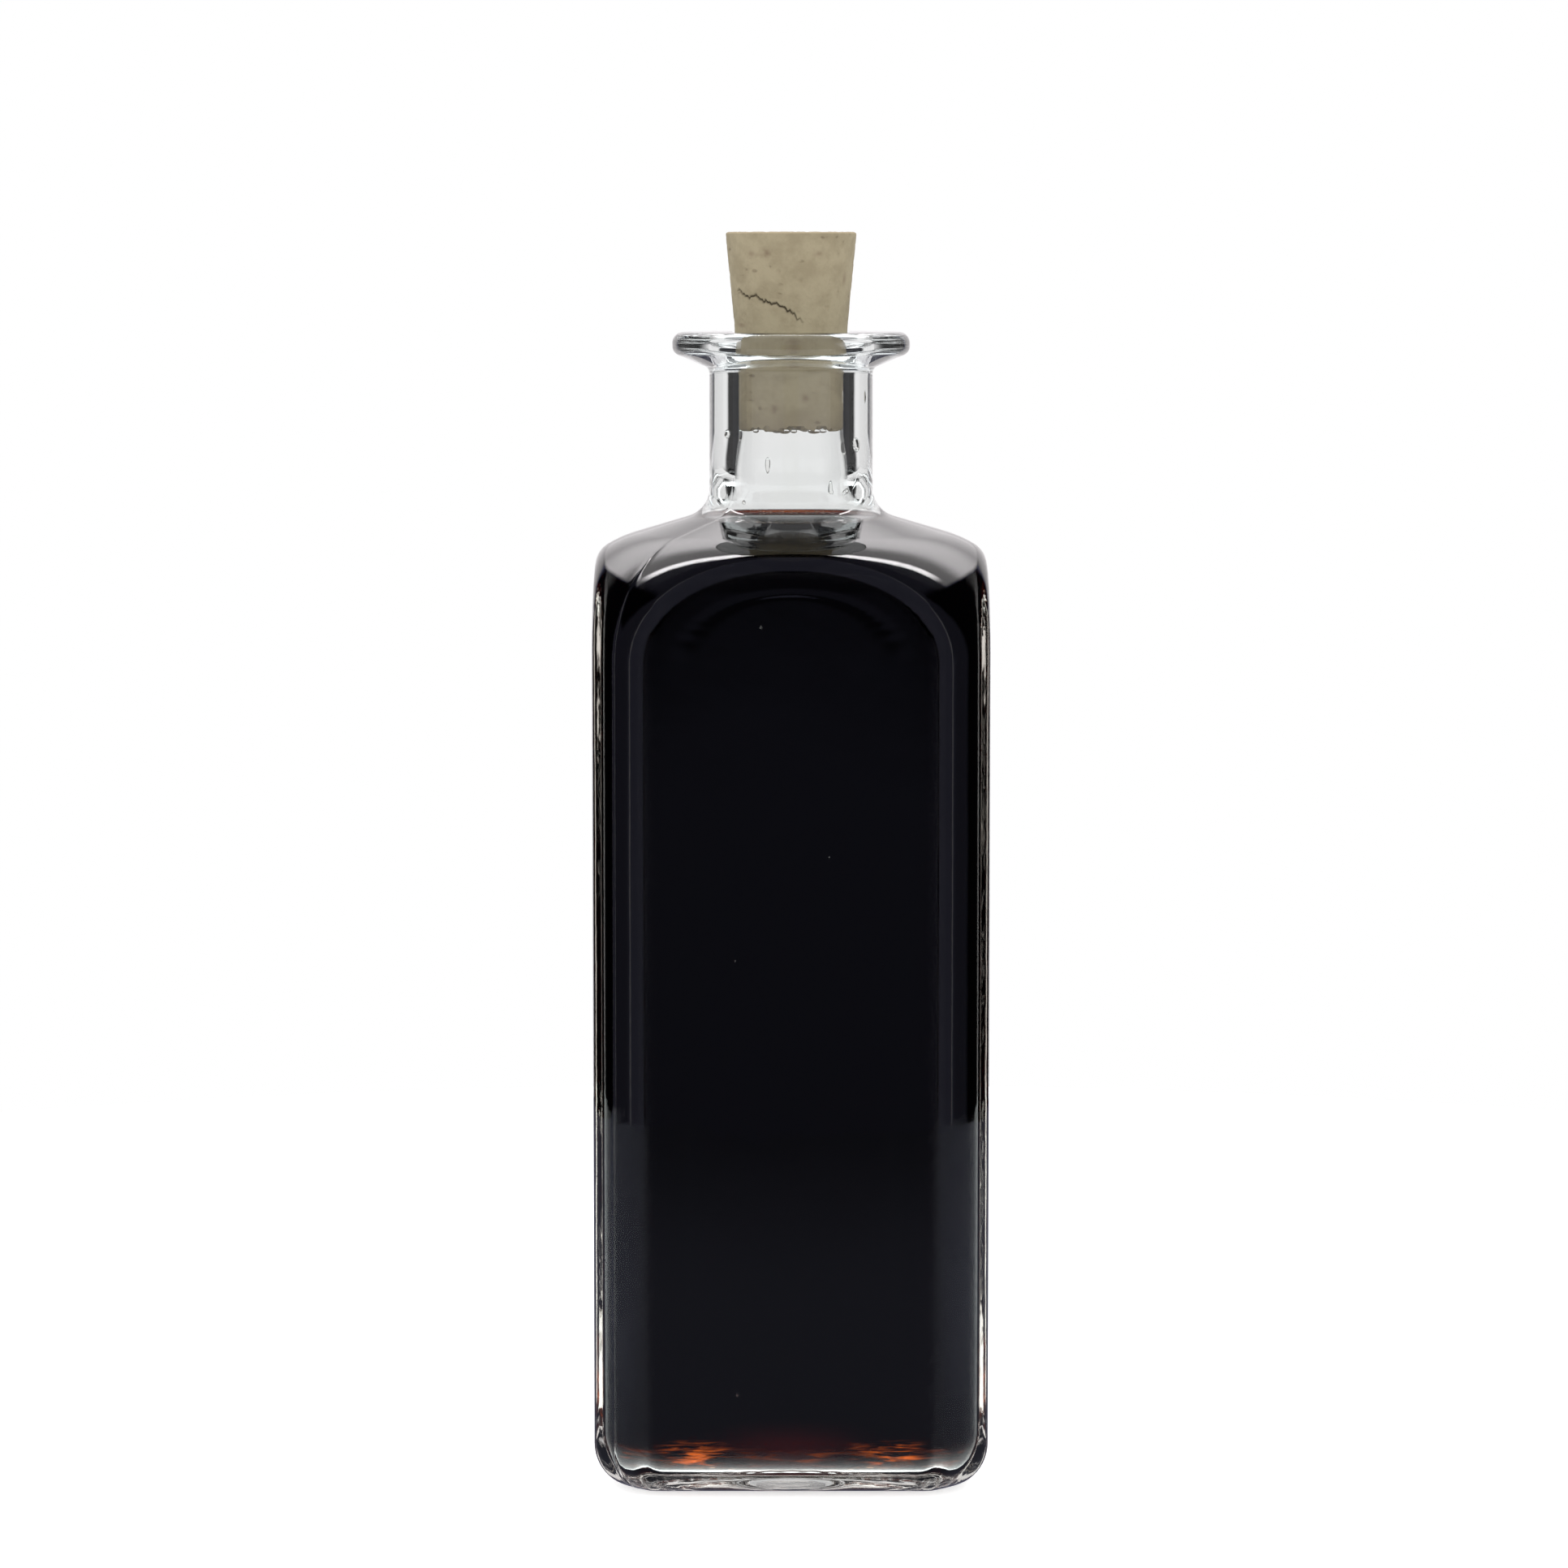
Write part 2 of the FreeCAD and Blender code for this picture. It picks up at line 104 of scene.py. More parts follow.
class BOTTLE_PG_glass(bpy.types.PropertyGroup):
    corner_stand: length("Corner stand", 0.0087, "How much further out than the panels the corners stand")
    heel: length("Heel", 0.0079, "Rounding from the sides to the base")
    panel_edge: length("Panel edge", 0.0042, "Rounding all around each arched panel")
    shoulder: length("Shoulder", 0.0215, "Curve of the shoulder down to the corners")
    shoulder_fall: angle("Shoulder fall", 16.6, "How steeply the top of the shoulder falls outwards")
    foot: length("Neck foot", 0.0051, "Hollow curve between shoulder and neck")
    neck_length: length("Neck length", 0.0302, "Top of the lip to where the neck would meet the shoulder")
    neck_diameter: length("Neck diameter", 0.0278, "Outside of the neck")
    lip_stand: length("Lip stand", 0.0063, "How far the lip stands out from the neck")
    lip_edge: length("Lip edge", 0.0035, "Height of the lip's upright edge")
    lip_slope: angle("Lip slope", 23.0, "How steeply the underside of the lip rises outwards")
    lip_top: length("Lip top", 0.0019, "Rounding of the lip's upper edge")
    lip_low: length("Lip bottom", 0.0016, "Rounding of the lip's lower edge")
    lip_neck: length("Lip foot", 0.0012, "Hollow curve between lip and neck")
    mouth_edge: length("Mouth edge", 0.0008, "Rounding of the mouth")
    neck_wall: length("Neck wall", 0.0043, "Glass of the neck at its mouth")
    mouth_narrowing: length("Mouth narrowing", 0.0013, "How much narrower the bore is at the cork")
    mouth_depth: length("Mouth depth", 0.0076, "Depth over which the mouth narrows")
    bore_depth: length("Bore depth", 0.0169, "Depth at which the bore begins to widen")
    bore_slope: number("Bore slope", 0.14, "How far the bore widens per length down, below the cork")
    wall: length("Panel wall", 0.0034, "Glass of a flat panel")
    corner_wall: length("Corner wall", 0.0038, "Glass of a corner")
    shoulder_wall: length("Shoulder wall", 0.0036, "Glass of the shoulder, measured upright")
    base_wall: length("Base wall", 0.0044, "Glass of the base near its rim")
    inner_edge: length("Inside corner", 0.0060, "Rounding of the inside corners")
    inner_heel: length("Inside heel", 0.0050, "Rounding inside above the base")
    inner_foot: length("Inside foot", 0.0180, "Curve inside between shoulder and neck")
    base_ring: length("Base ring", 0.0053, "Flat ring that the bottle stands on")
    punt_depth: length("Punt depth", 0.0022, "Depth of the hollow under the base")
    floor_ring: length("Floor ring", 0.0038, "Flat ring round the raised floor inside")
    floor_rise: length("Floor rise", 0.0026, "Height of the raised floor inside")
    dish: length("Panel dish", 0.0003, "How far the middle of a panel lies behind its edges")
    crease: length("Crease", 0.00006, "Depth of the fine line round each panel")
    stipple_depth: length("Stipple depth", 0.0004, "How far the bumps stand down from the base ring")
    stipple_size: length("Stipple size", 0.0013, "Half the width of one bump under the base")
    stipple_count: bpy.props.IntProperty(name="Stipple count", description="Bumps under the base", default=40)
    seam_height: length("Seam height", 0.00012, "How far the mould seam stands up")
    seam_width: length("Seam width", 0.00025, "Half the width of the mould seam")
    tint: colour("Glass tint", (0.985, 0.990, 0.986), "Colour that light takes on at a surface")


class BOTTLE_PG_drink(bpy.types.PropertyGroup):
    reach: length("Reach", 0.00006, "How far the drink reaches into the glass, so that no gap shows")
    climb: length("Climb", 0.0009, "How far the drink climbs the wall at its surface")
    climb_width: length("Climb width", 0.0011, "How far from the wall the climb fades")
    glow: colour("Glow", (0.885, 0.77, 0.67), "Colour of light through a thin layer")
    darkness: number("Darkness", 1400.0, "How strongly the drink takes up light, per metre")
    bead_count: bpy.props.IntProperty(name="Beads", description="Small bubbles along the surface", default=84)
    bead_size: length("Bead size", 0.00050, "Radius of the largest bubble along the surface")


class BOTTLE_PG_cork(bpy.types.PropertyGroup):
    edge: length("Edge", 0.0006, "Rounding of the ends")
    roughness: length("Roughness", 0.00006, "Depth of the fine roughness")
    dish: length("Dish", 0.0004, "How far the top is hollow in the middle")
    ragged: length("Ragged end", 0.0009, "How uneven the wet lower end is")
    crack_depth: length("Crack depth", 0.0006, "Depth of the crack")
    crack_width: length("Crack width", 0.00012, "Half the width of the crack")
    light: colour("Light cork", (0.318, 0.272, 0.180), "Colour of the cork")
    dark: colour("Dark cork", (0.262, 0.220, 0.142), "Colour of its darker grain")
    stain: colour("Stain", (0.150, 0.100, 0.066), "Colour of the stains left by the drink")


class BOTTLE_PG_stage(bpy.types.PropertyGroup):
    distance: length("Distance", 0.936, "Camera to the bottle's axis")
    height: length("Height", 0.2074, "Camera above the base")
    aside: length("Aside", 0.0012, "Camera to the left of the axis")
    tilt: angle("Tilt", 5.5, "How far the camera looks down")
    lens: number("Lens", 126.0, "Focal length for a sensor 36 mm wide")
    floor_radius: length("Floor radius", 0.43, "Round table top")
    strip_light: number("Strip light", 11.0, "Brightness of the strip overhead in reflections")
    glow_light: number("Glow light", 2.2, "Brightness of the broad glow behind the strip")


# ---------------------------------------------------------------- shapes


def rounded_profile(corners):
    """Turned outline as arrays of radius, height, and the two parts of its normal.

    The corners are joined by straight lines, and each is replaced by an arc of its own radius that
    touches both lines: the arc starts at radius * tan(turn / 2) before the corner. Every corner is
    (radius from the axis, height, rounding, rows on the arc, rows on the line before it).
    """
    across, up = [], []
    points = [np.array(corner[:2]) for corner in corners]
    last = points[0]
    across.append([last[0]])
    up.append([last[1]])
    for step in range(1, len(corners)):
        here = points[step]
        rounding, arc_rows, line_rows = corners[step][2:]
        before = (here - points[step - 1]) / np.linalg.norm(here - points[step - 1])
        if step + 1 < len(corners) and rounding > 0:
            after = (points[step + 1] - here) / np.linalg.norm(points[step + 1] - here)
            turn = math.acos(float(np.clip(before @ after, -1, 1)))
            reach = rounding * math.tan(turn / 2)
            start = here - before * reach
            side = 1.0 if before[0] * after[1] - before[1] * after[0] > 0 else -1.0
            inward = side * np.array([-before[1], before[0]])
            centre = start + inward * rounding
        else:
            start = here
        part = np.linspace(0, 1, line_rows + 1)[1:]
        across.append(last[0] + (start[0] - last[0]) * part)
        up.append(last[1] + (start[1] - last[1]) * part)
        last = start
        if start is not here:
            sweep = np.linspace(0, turn, arc_rows + 1)[1:]
            for part, k in ((across, 0), (up, 1)):
                part.append(centre[k] - inward[k] * rounding * np.cos(sweep)
                            + before[k] * rounding * np.sin(sweep))
            last = np.array([across[-1][-1], up[-1][-1]])
    across = np.concatenate(across)
    up = np.concatenate(up)
    run, climb = np.gradient(across), np.gradient(up)
    size = np.hypot(run, climb)
    return across, up, climb / size, -run / size


def turns(corner_radius, half_width, edge):
    """Azimuths round the bottle, closer together across the rounded edge of each panel and at its corner.

    The rounding's centre stands one rounding inside both the panel and the corner's circle, and it
    touches the panel straight across from that centre and the corner along the line from the axis.
    """
    centre = math.sqrt((corner_radius - edge) ** 2 - (half_width - edge) ** 2)
    flat_end = math.atan2(centre, half_width)
    corner_start = math.atan2(centre, half_width - edge)
    close = np.array(CREASE_COLUMNS) / half_width
    eighth = np.concatenate([
        np.arctan(np.linspace(0, math.tan(flat_end) - FLAT_COLUMNS_STOP / half_width, 19)),
        np.arctan(math.tan(flat_end) + close), [flat_end], np.arctan(math.tan(flat_end) - close[:0:-1]),
        np.linspace(flat_end, corner_start, 6, endpoint=False)[1:],
        math.pi / 4 - (math.pi / 4 - corner_start) * np.array(CORNER_COLUMNS),
    ])
    quarter = np.concatenate([eighth, [math.pi / 4], math.pi / 2 - eighth[:0:-1]])
    return np.concatenate([quarter + turn * math.pi / 2 for turn in range(4)])


def square_radius(across, up, out, rise, half_width, edge, heel, floor, azimuth, dish=0.0, crease=0.0):
    """Distance from the axis of a turned surface with four flat sides and rounded edges.

    With d1 the distance outside the turned surface and d2 that outside the panel, both along their
    normals, the rounding of radius k is where (d1+k)^2 + (d2+k)^2 - 2 c (d1+k)(d2+k) = k^2 (1 - c^2),
    and c is the cosine of the angle between the normals. Elsewhere the nearer surface counts. A dish
    sinks the panel by dish * (1 - (across / half the flat)^2) * (1 - (up from its middle / half its
    height)^2), and a fine crease of depth * exp(-(distance from the flat's border / width)^2) runs round it.
    """
    turned, height = across[:, None], up[:, None]
    facing = np.maximum(np.abs(np.cos(azimuth)), np.abs(np.sin(azimuth)))[None, :]
    low = np.clip(heel - (height - floor), 0, heel)
    lean_up = low / heel
    lean_out = np.sqrt(np.maximum(1 - lean_up ** 2, 1e-9))
    panel = half_width - heel + np.sqrt(heel ** 2 - low ** 2)
    if dish:
        flat_half = math.sqrt((across.max() - edge) ** 2 - (half_width - edge) ** 2)
        aside = half_width * np.sqrt(1 / facing ** 2 - 1) / flat_half
        middle = (height - height[np.argmax(across > across.max() - 1e-6)]) / (DISH_TOP - heel) * 2 - 1
        panel = panel - dish * np.clip(1 - aside ** 2, 0, 1) * np.clip(1 - middle ** 2, 0, 1)
    out, rise = np.maximum(np.abs(out[:, None]), 1e-4), rise[:, None]
    edge = np.broadcast_to(edge, height.shape)
    a1, b1 = out, edge - turned * out
    a2, b2 = facing * lean_out, edge - panel * lean_out
    meet = np.clip(a1 * a2 - rise * lean_up, -1, 0.99999)
    a = a1 ** 2 + a2 ** 2 - 2 * meet * a1 * a2
    b = 2 * (a1 * b1 + a2 * b2 - meet * (a1 * b2 + a2 * b1))
    c = b1 ** 2 + b2 ** 2 - 2 * meet * b1 * b2 - edge ** 2 * (1 - meet ** 2)
    root = b ** 2 - 4 * a * c
    sharp = np.minimum(np.broadcast_to(turned, a.shape), panel / facing)
    rounded = (-b + np.sqrt(np.maximum(root, 0))) / (2 * np.maximum(a, 1e-9))
    first, second = a1 * rounded + b1, a2 * rounded + b2
    inside = (root > 0) & (a > 1e-6) & (first > meet * second) & (second > meet * first)
    radius = np.where(inside, np.minimum(rounded, sharp), sharp)
    if crease:
        border = a1 * panel / facing + b1
        radius = radius - crease * np.exp(-(border / CREASE_WIDTH) ** 2) * (height > heel)
    return radius


def points_round(radius, height, azimuth):
    """Grid of points from the distance to the axis, the height and the azimuth."""
    radius, height = np.broadcast_arrays(radius, height)
    return np.stack([radius * np.cos(azimuth)[None, :], radius * np.sin(azimuth)[None, :], height], axis=-1)


def waves(points, seed, size, count=9):
    """Soft unevenness between about -1 and 1: a sum of sine waves that run in random directions.

    The sum of n waves has a spread of sqrt(n / 2), and 1.6 times that spread counts as 1.
    """
    random = np.random.default_rng(seed)
    total = np.zeros(points.shape[:-1])
    for _ in range(count):
        way = random.normal(size=3)
        way *= random.uniform(0.6, 1.7) * 2 * math.pi / size / np.linalg.norm(way)
        total += np.sin(points @ way + random.uniform(0, 2 * math.pi))
    return total / math.sqrt(count / 2) / 1.6


def mesh_object(name, vertices, faces, smooth=True):
    """Mesh object from points and lists of faces, put in the scene."""
    mesh = bpy.data.meshes.new(name)
    mesh.from_pydata(vertices.tolist(), [], [face for part in faces for face in part.tolist()])
    mesh.update()
    mesh.polygons.foreach_set("use_smooth", np.full(len(mesh.polygons), smooth))
    made = bpy.data.objects.new(name, mesh)
    bpy.context.scene.collection.objects.link(made)
    return made


def closed_surface(name, rows, start, stop, smooth=True):
    """Mesh object from rows of points that run round the axis, closed by one point at each end.

    The volume is the sum of a . (b x c) over its triangles; if it is below zero, the faces are turned round.
    """
    count, around = rows.shape[:2]
    vertices = np.concatenate([[start], rows.reshape(-1, 3), [stop]])
    here = 1 + np.arange(count * around).reshape(count, around)
    right = np.roll(here, -1, axis=1)
    quads = np.stack([here[:-1], right[:-1], right[1:], here[1:]], axis=-1).reshape(-1, 4)
    first = np.stack([np.zeros(around, int), right[0], here[0]], axis=-1)
    last = np.stack([np.full(around, len(vertices) - 1), here[-1], right[-1]], axis=-1)
    a, b, c, d = (vertices[quads[:, k]] for k in range(4))
    volume = np.einsum("ij,ij->i", a, np.cross(b, c)).sum() + np.einsum("ij,ij->i", a, np.cross(c, d)).sum()
    if volume < 0:
        quads, first, last = quads[:, ::-1], first[:, ::-1], last[:, ::-1]
    made = mesh_object(name, vertices, (quads, first, last), smooth)
    if made.data.validate():
        raise RuntimeError(name + " has faces that Blender had to mend")
    return made


def ball_cloud(name, centres, sizes, rings=7, around=12):
    """Many small balls as one mesh: each point is centre + size * direction, over one ball's directions."""
    polar = np.linspace(0, math.pi, rings + 2)[1:-1]
    azimuth = np.arange(around) * 2 * math.pi / around
    ball = np.stack([
        np.sin(polar)[:, None] * np.cos(azimuth), np.sin(polar)[:, None] * np.sin(azimuth),
        np.broadcast_to(np.cos(polar)[:, None], (rings, around)),
    ], axis=-1).reshape(-1, 3)
    ball = np.concatenate([[[0, 0, 1.0]], ball, [[0, 0, -1.0]]])
    here = 1 + np.arange(rings * around).reshape(rings, around)
    right = np.roll(here, -1, axis=1)
    quads = np.stack([here[:-1], here[1:], right[1:], right[:-1]], axis=-1).reshape(-1, 4)
    caps = np.concatenate([
        np.stack([np.zeros(around, int), here[0], right[0]], axis=-1),
        np.stack([np.full(around, len(ball) - 1), right[-1], here[-1]], axis=-1),
    ])
    shift = (np.arange(len(centres)) * len(ball))[:, None, None]
    vertices = (centres[:, None, :] + sizes[:, None, :] * ball[None]).reshape(-1, 3)
    return mesh_object(name, vertices, ((quads + shift).reshape(-1, 4), (caps + shift).reshape(-1, 3)))


def bottle_sizes(s):
    """Sizes of the glass that follow from the frame's box and the settings."""
    half = GLASS_HIGH.x
    top = GLASS_HIGH.z
    neck = s.neck_diameter / 2
    corner = half + s.corner_stand
    foot = top - s.neck_length
    fall = math.tan(s.shoulder_fall)
    mouth = neck - s.neck_wall
    bore = mouth - s.mouth_narrowing / 2
    lip = neck + s.lip_stand
    return dict(
        half=half, top=top, neck=neck, corner=corner, foot=foot, mouth=mouth, bore=bore, lip=lip, fall=fall,
        shoulder=foot - (corner - neck) * fall, lip_low=top - s.lip_edge,
        lip_neck=top - s.lip_edge - s.lip_stand * math.tan(s.lip_slope),
    )


def hollow_corners(s, b, reach):
    """The hollow's outline from the widening bore down to the floor, let out by one reach.

    The bore's slope and the underside of the shoulder are two straight lines; they meet at
    radius = (bore + slope * (height of the bore's start - height of the shoulder line at the axis))
    / (1 - slope * fall).
    """
    corner = b["corner"] - s.corner_wall + reach
    bore = b["bore"] + reach
    bore_low = b["top"] - s.bore_depth
    line = b["foot"] - s.shoulder_wall + reach / math.cos(s.shoulder_fall)
    shoulder = line - (corner - b["neck"]) * b["fall"]
    neck = (bore + s.bore_slope * (bore_low - line - b["neck"] * b["fall"])) / (1 - s.bore_slope * b["fall"])
    foot = line + (b["neck"] - neck) * b["fall"]
    floor = s.base_wall - reach
    curve = s.shoulder - s.shoulder_wall
    return [
        (neck, foot, s.inner_foot, 22, 6),
        (corner, shoulder, curve + reach, 34, 3),
        (corner, floor, s.inner_heel + reach, 12, 6),
        (corner - 2 * s.inner_heel, floor, 0, 0, 1),
    ], floor


def floor_rows(edge_radius, ring_radius, rise, floor, azimuth, rows_out, rows_in):
    """Rows from a rounded floor's edge to its middle: flat to the ring, then a dome of the given rise.

    The dome is a part of a ball: height = sqrt(R^2 - r^2) - sqrt(R^2 - ring^2), with R from the rise.
    """
    part = np.linspace(0, 1, rows_out + 1)[1:, None]
    flat = edge_radius[None, :] * (1 - part) + ring_radius * part
    radius = ring_radius * np.cos(np.linspace(0, math.pi / 2, rows_in + 1)[1:-1])[:, None]
    ball = (ring_radius ** 2 + rise ** 2) / (2 * abs(rise))
    dome = np.sqrt(ball ** 2 - radius ** 2) - math.sqrt(ball ** 2 - ring_radius ** 2)
    dome = floor + math.copysign(1, rise) * dome * np.ones((1, len(azimuth)))
    return [
        points_round(flat, np.full_like(flat, floor), azimuth),
        points_round(radius * np.ones((1, len(azimuth))), dome, azimuth),
    ], [0.0, 0.0, floor + rise]


def hollow_rows(s, b, reach, azimuth, corners_above):
    """Rows of the hollow from the top of the given corners to the middle of its raised floor."""
    corners, floor = hollow_corners(s, b, reach)
    across, up, out, rise = (part[:-1] for part in rounded_profile(corners_above + corners))
    out, rise = -out, -rise
    half = b["half"] - s.wall + reach
    heel = s.inner_heel + reach
    radius = square_radius(across, up, out, rise, half, s.inner_edge + reach, heel, floor, azimuth)
    side = points_round(radius, up[:, None], azimuth)
    ring = half - reach - s.inner_heel - s.floor_ring
    low, middle = floor_rows(radius[-1], ring, s.floor_rise, floor, azimuth, 4, 9)
    return side, low, middle


def seam_ridge(s, points, azimuth):
    """Push the outside out along two opposite corners: height * exp(-(distance from the seam / width)^2)."""
    flat = np.hypot(points[..., 0], points[..., 1])
    away = (azimuth[None, :] - math.radians(SEAM_TURN) + math.pi / 2) % math.pi - math.pi / 2
    ridge = s.seam_height * np.exp(-(away * flat / s.seam_width) ** 2)
    foot = GLASS_HIGH.z - s.neck_length
    below = np.clip((foot + SEAM_FADE / 2 - points[..., 2]) / SEAM_FADE, 0, 1)
    ridge = ridge * (SEAM_LEFT + (1 - SEAM_LEFT) * below)
    grow = 1 + ridge / np.maximum(flat, 1e-6)
    points[..., 0] *= grow
    points[..., 1] *= grow
    return points


def under_rows(s, b, edge_radius, azimuth):
    """Rows under the base, from its edge to the middle, with a ring of low bumps round a hollow.

    The ring is raised by the stipple depth, and each bump comes down to the floor as
    sqrt(1 - (distance from its middle / its size)^2).
    """
    ring = b["half"] - s.heel - s.base_ring / 2
    wide = s.stipple_size * BUMP_RING
    outer, inner = ring + wide, ring - wide
    part = np.linspace(0, 1, 4)[1:, None]
    first = edge_radius[None, :] * (1 - part) + outer * part
    radii = np.linspace(outer, inner, 11)[1:, None] * np.ones((1, len(azimuth)))
    radius = np.concatenate([first, radii])
    step = 2 * math.pi / s.stipple_count
    along = ((azimuth + step / 2) % step - step / 2)[None, :] * ring
    bump = np.sqrt(np.clip(1 - (along ** 2 + (radius - ring) ** 2) / s.stipple_size ** 2, 0, 1))
    sunk = np.clip((edge_radius[None, :] - radius) / np.maximum(edge_radius[None, :] - outer, 1e-4), 0, 1)
    height = s.stipple_depth * sunk * (1 - bump)
    low = points_round(radius, height, azimuth)
    punt = b["half"] - s.heel - s.base_ring
    fade = np.array([[0.5], [1.0]])
    radius = inner * (1 - fade) + punt * fade * np.ones((1, len(azimuth)))
    rim = points_round(radius, np.full_like(radius, s.stipple_depth), azimuth)
    rise = s.punt_depth - s.stipple_depth
    dome, middle = floor_rows(radius[-1], punt, rise, s.stipple_depth, azimuth, 1, 9)
    return [low, rim, dome[1]], middle


def build_glass(s):
    """The whole glass as one closed surface: base, sides, shoulder, neck, lip, bore, hollow and floor."""
    b = bottle_sizes(s)
    azimuth = turns(b["corner"], b["half"], s.panel_edge)
    across, up, out, rise = rounded_profile([
        (b["corner"] - s.heel, 0.0, 0, 0, 0),
        (b["corner"], 0.0, s.heel, 14, 1),
        (b["corner"], b["shoulder"], s.shoulder, 100, 12),
        (b["neck"], b["foot"], s.foot, 12, 9),
        (b["neck"], b["lip_neck"], s.lip_neck, 6, 8),
        (b["lip"], b["lip_low"], s.lip_low, 7, 4),
        (b["lip"], b["top"], s.lip_top, 9, 2),
        (b["mouth"], b["top"], s.mouth_edge, 7, 4),
        (b["bore"], b["top"] - s.mouth_depth, GRIP_ROUNDING, 3, 6),
        (b["bore"], b["top"] - s.bore_depth, 0, 0, 5),
    ])
    across, up, out, rise = across[2:], up[2:], out[2:], rise[2:]
    radius = square_radius(across, up, out, rise, b["half"], s.panel_edge, s.heel, 0.0, azimuth,
                           s.dish, s.crease)
    outside = seam_ridge(s, points_round(radius, up[:, None], azimuth), azimuth)
    edge_radius = square_radius(
        np.array([b["corner"] - s.heel]), np.array([0.0]), np.array([0.0]), np.array([-1.0]),
        b["half"], s.panel_edge, s.heel, 0.0, azimuth)[0]
    below, base_middle = under_rows(s, b, edge_radius, azimuth)
    bore_low = b["top"] - s.bore_depth
    above = [(b["bore"], bore_low - 0.0002, 0, 0, 0)]
    inside, floor, floor_middle = hollow_rows(s, b, 0.0, azimuth, above)
    base = [rows[::-1] for rows in below[::-1]]
    edge = points_round(edge_radius[None, :], np.zeros((1, 1)), azimuth)
    rows = np.concatenate(base + [edge, outside, inside] + floor)
    made = closed_surface("Glass", rows, base_middle, floor_middle)
    made.data.materials.append(clear_glass(s, "Clear glass", 1.0))
    made.data.materials.append(clear_glass(s, "Wetted glass", 0.0))
    dry = len(rows) - len(inside) - sum(len(part) for part in floor)
    dry += int(np.argmax(inside[:, 0, 2] < DRINK_HIGH.z))
    wetted = np.arange(len(made.data.polygons)) >= dry * len(azimuth)
    # The faces round the middle of the base come last but one in the mesh, and stay dry.
    wetted[-2 * len(azimuth):-len(azimuth)] = False
    made.data.polygons.foreach_set("material_index", wetted.astype(np.int32))
    return made


def build_drink(s, d):
    """The drink as one closed surface that reaches into the glass, with a surface that climbs the wall.

    Near the wall the surface stands up by climb * exp(-distance from the wall / climb width).
    """
    b = bottle_sizes(s)
    azimuth = turns(b["corner"], b["half"], s.panel_edge)
    level = DRINK_HIGH.z
    above = [(b["bore"] + d.reach, b["top"] - s.bore_depth, 0, 0, 0)]
    side, floor, middle = hollow_rows(s, b, d.reach, azimuth, above)
    heights = side[:, 0, 2]
    keep = heights < level + d.climb - 1e-5
    below = int(np.argmax(keep))
    part = (level + d.climb - heights[below]) / (heights[below - 1] - heights[below])
    rim = side[below] + (side[below - 1] - side[below]) * part
    across = np.hypot(rim[:, 0], rim[:, 1])[None, :]
    inset = (np.linspace(0, CLIMB_SPAN, 13)[1:] * d.climb_width)[:, None]
    near = across - d.reach - inset
    lift = d.climb * np.exp(-inset / d.climb_width)
    near_rows = points_round(near, level + lift * np.ones_like(near), azimuth)
    far = (across - d.reach - inset[-1]) * np.linspace(1, 0, 8)[1:-1, None]
    far_rows = points_round(far, np.full_like(far, level), azimuth)
    surface = np.concatenate([near_rows, far_rows])[::-1]
    rows = np.concatenate([surface, rim[None], side[below:]] + floor)
    made = closed_surface("Drink", rows, [0.0, 0.0, level], middle)
    made.data.materials.append(dark_drink(d))
    return made


def bore_radius(s, height):
    """Inside radius of the neck at some heights."""
    b = bottle_sizes(s)
    across, up = rounded_profile([
        (b["mouth"], b["top"], 0, 0, 0),
        (b["bore"], b["top"] - s.mouth_depth, 0, 0, 4),
        (b["bore"], b["top"] - s.bore_depth, 0, 0, 4),
    ] + hollow_corners(s, b, 0.0)[0][:2])[:2]
    return np.interp(height, up[::-1], across[::-1])


def build_beads(s, d):
    """Small bubbles that gather where the surface of the drink meets the glass."""
    random = np.random.default_rng(BEAD_SEED)
    level = DRINK_HIGH.z
    azimuth = (np.arange(d.bead_count) + random.uniform(-0.3, 0.3, d.bead_count)) * 2 * math.pi / d.bead_count
    size = d.bead_size * random.uniform(0.45, 1.0, d.bead_count)
    height = level + d.climb * random.uniform(0.80, 1.20, d.bead_count)
    radius = bore_radius(s, height) - size * 1.15
    centres = np.stack([radius * np.cos(azimuth), radius * np.sin(azimuth), height], axis=-1)
    made = ball_cloud("Drink_beads", centres, np.repeat(size[:, None], 3, axis=1))
    made.data.materials.append(dark_drink(d))
    return made


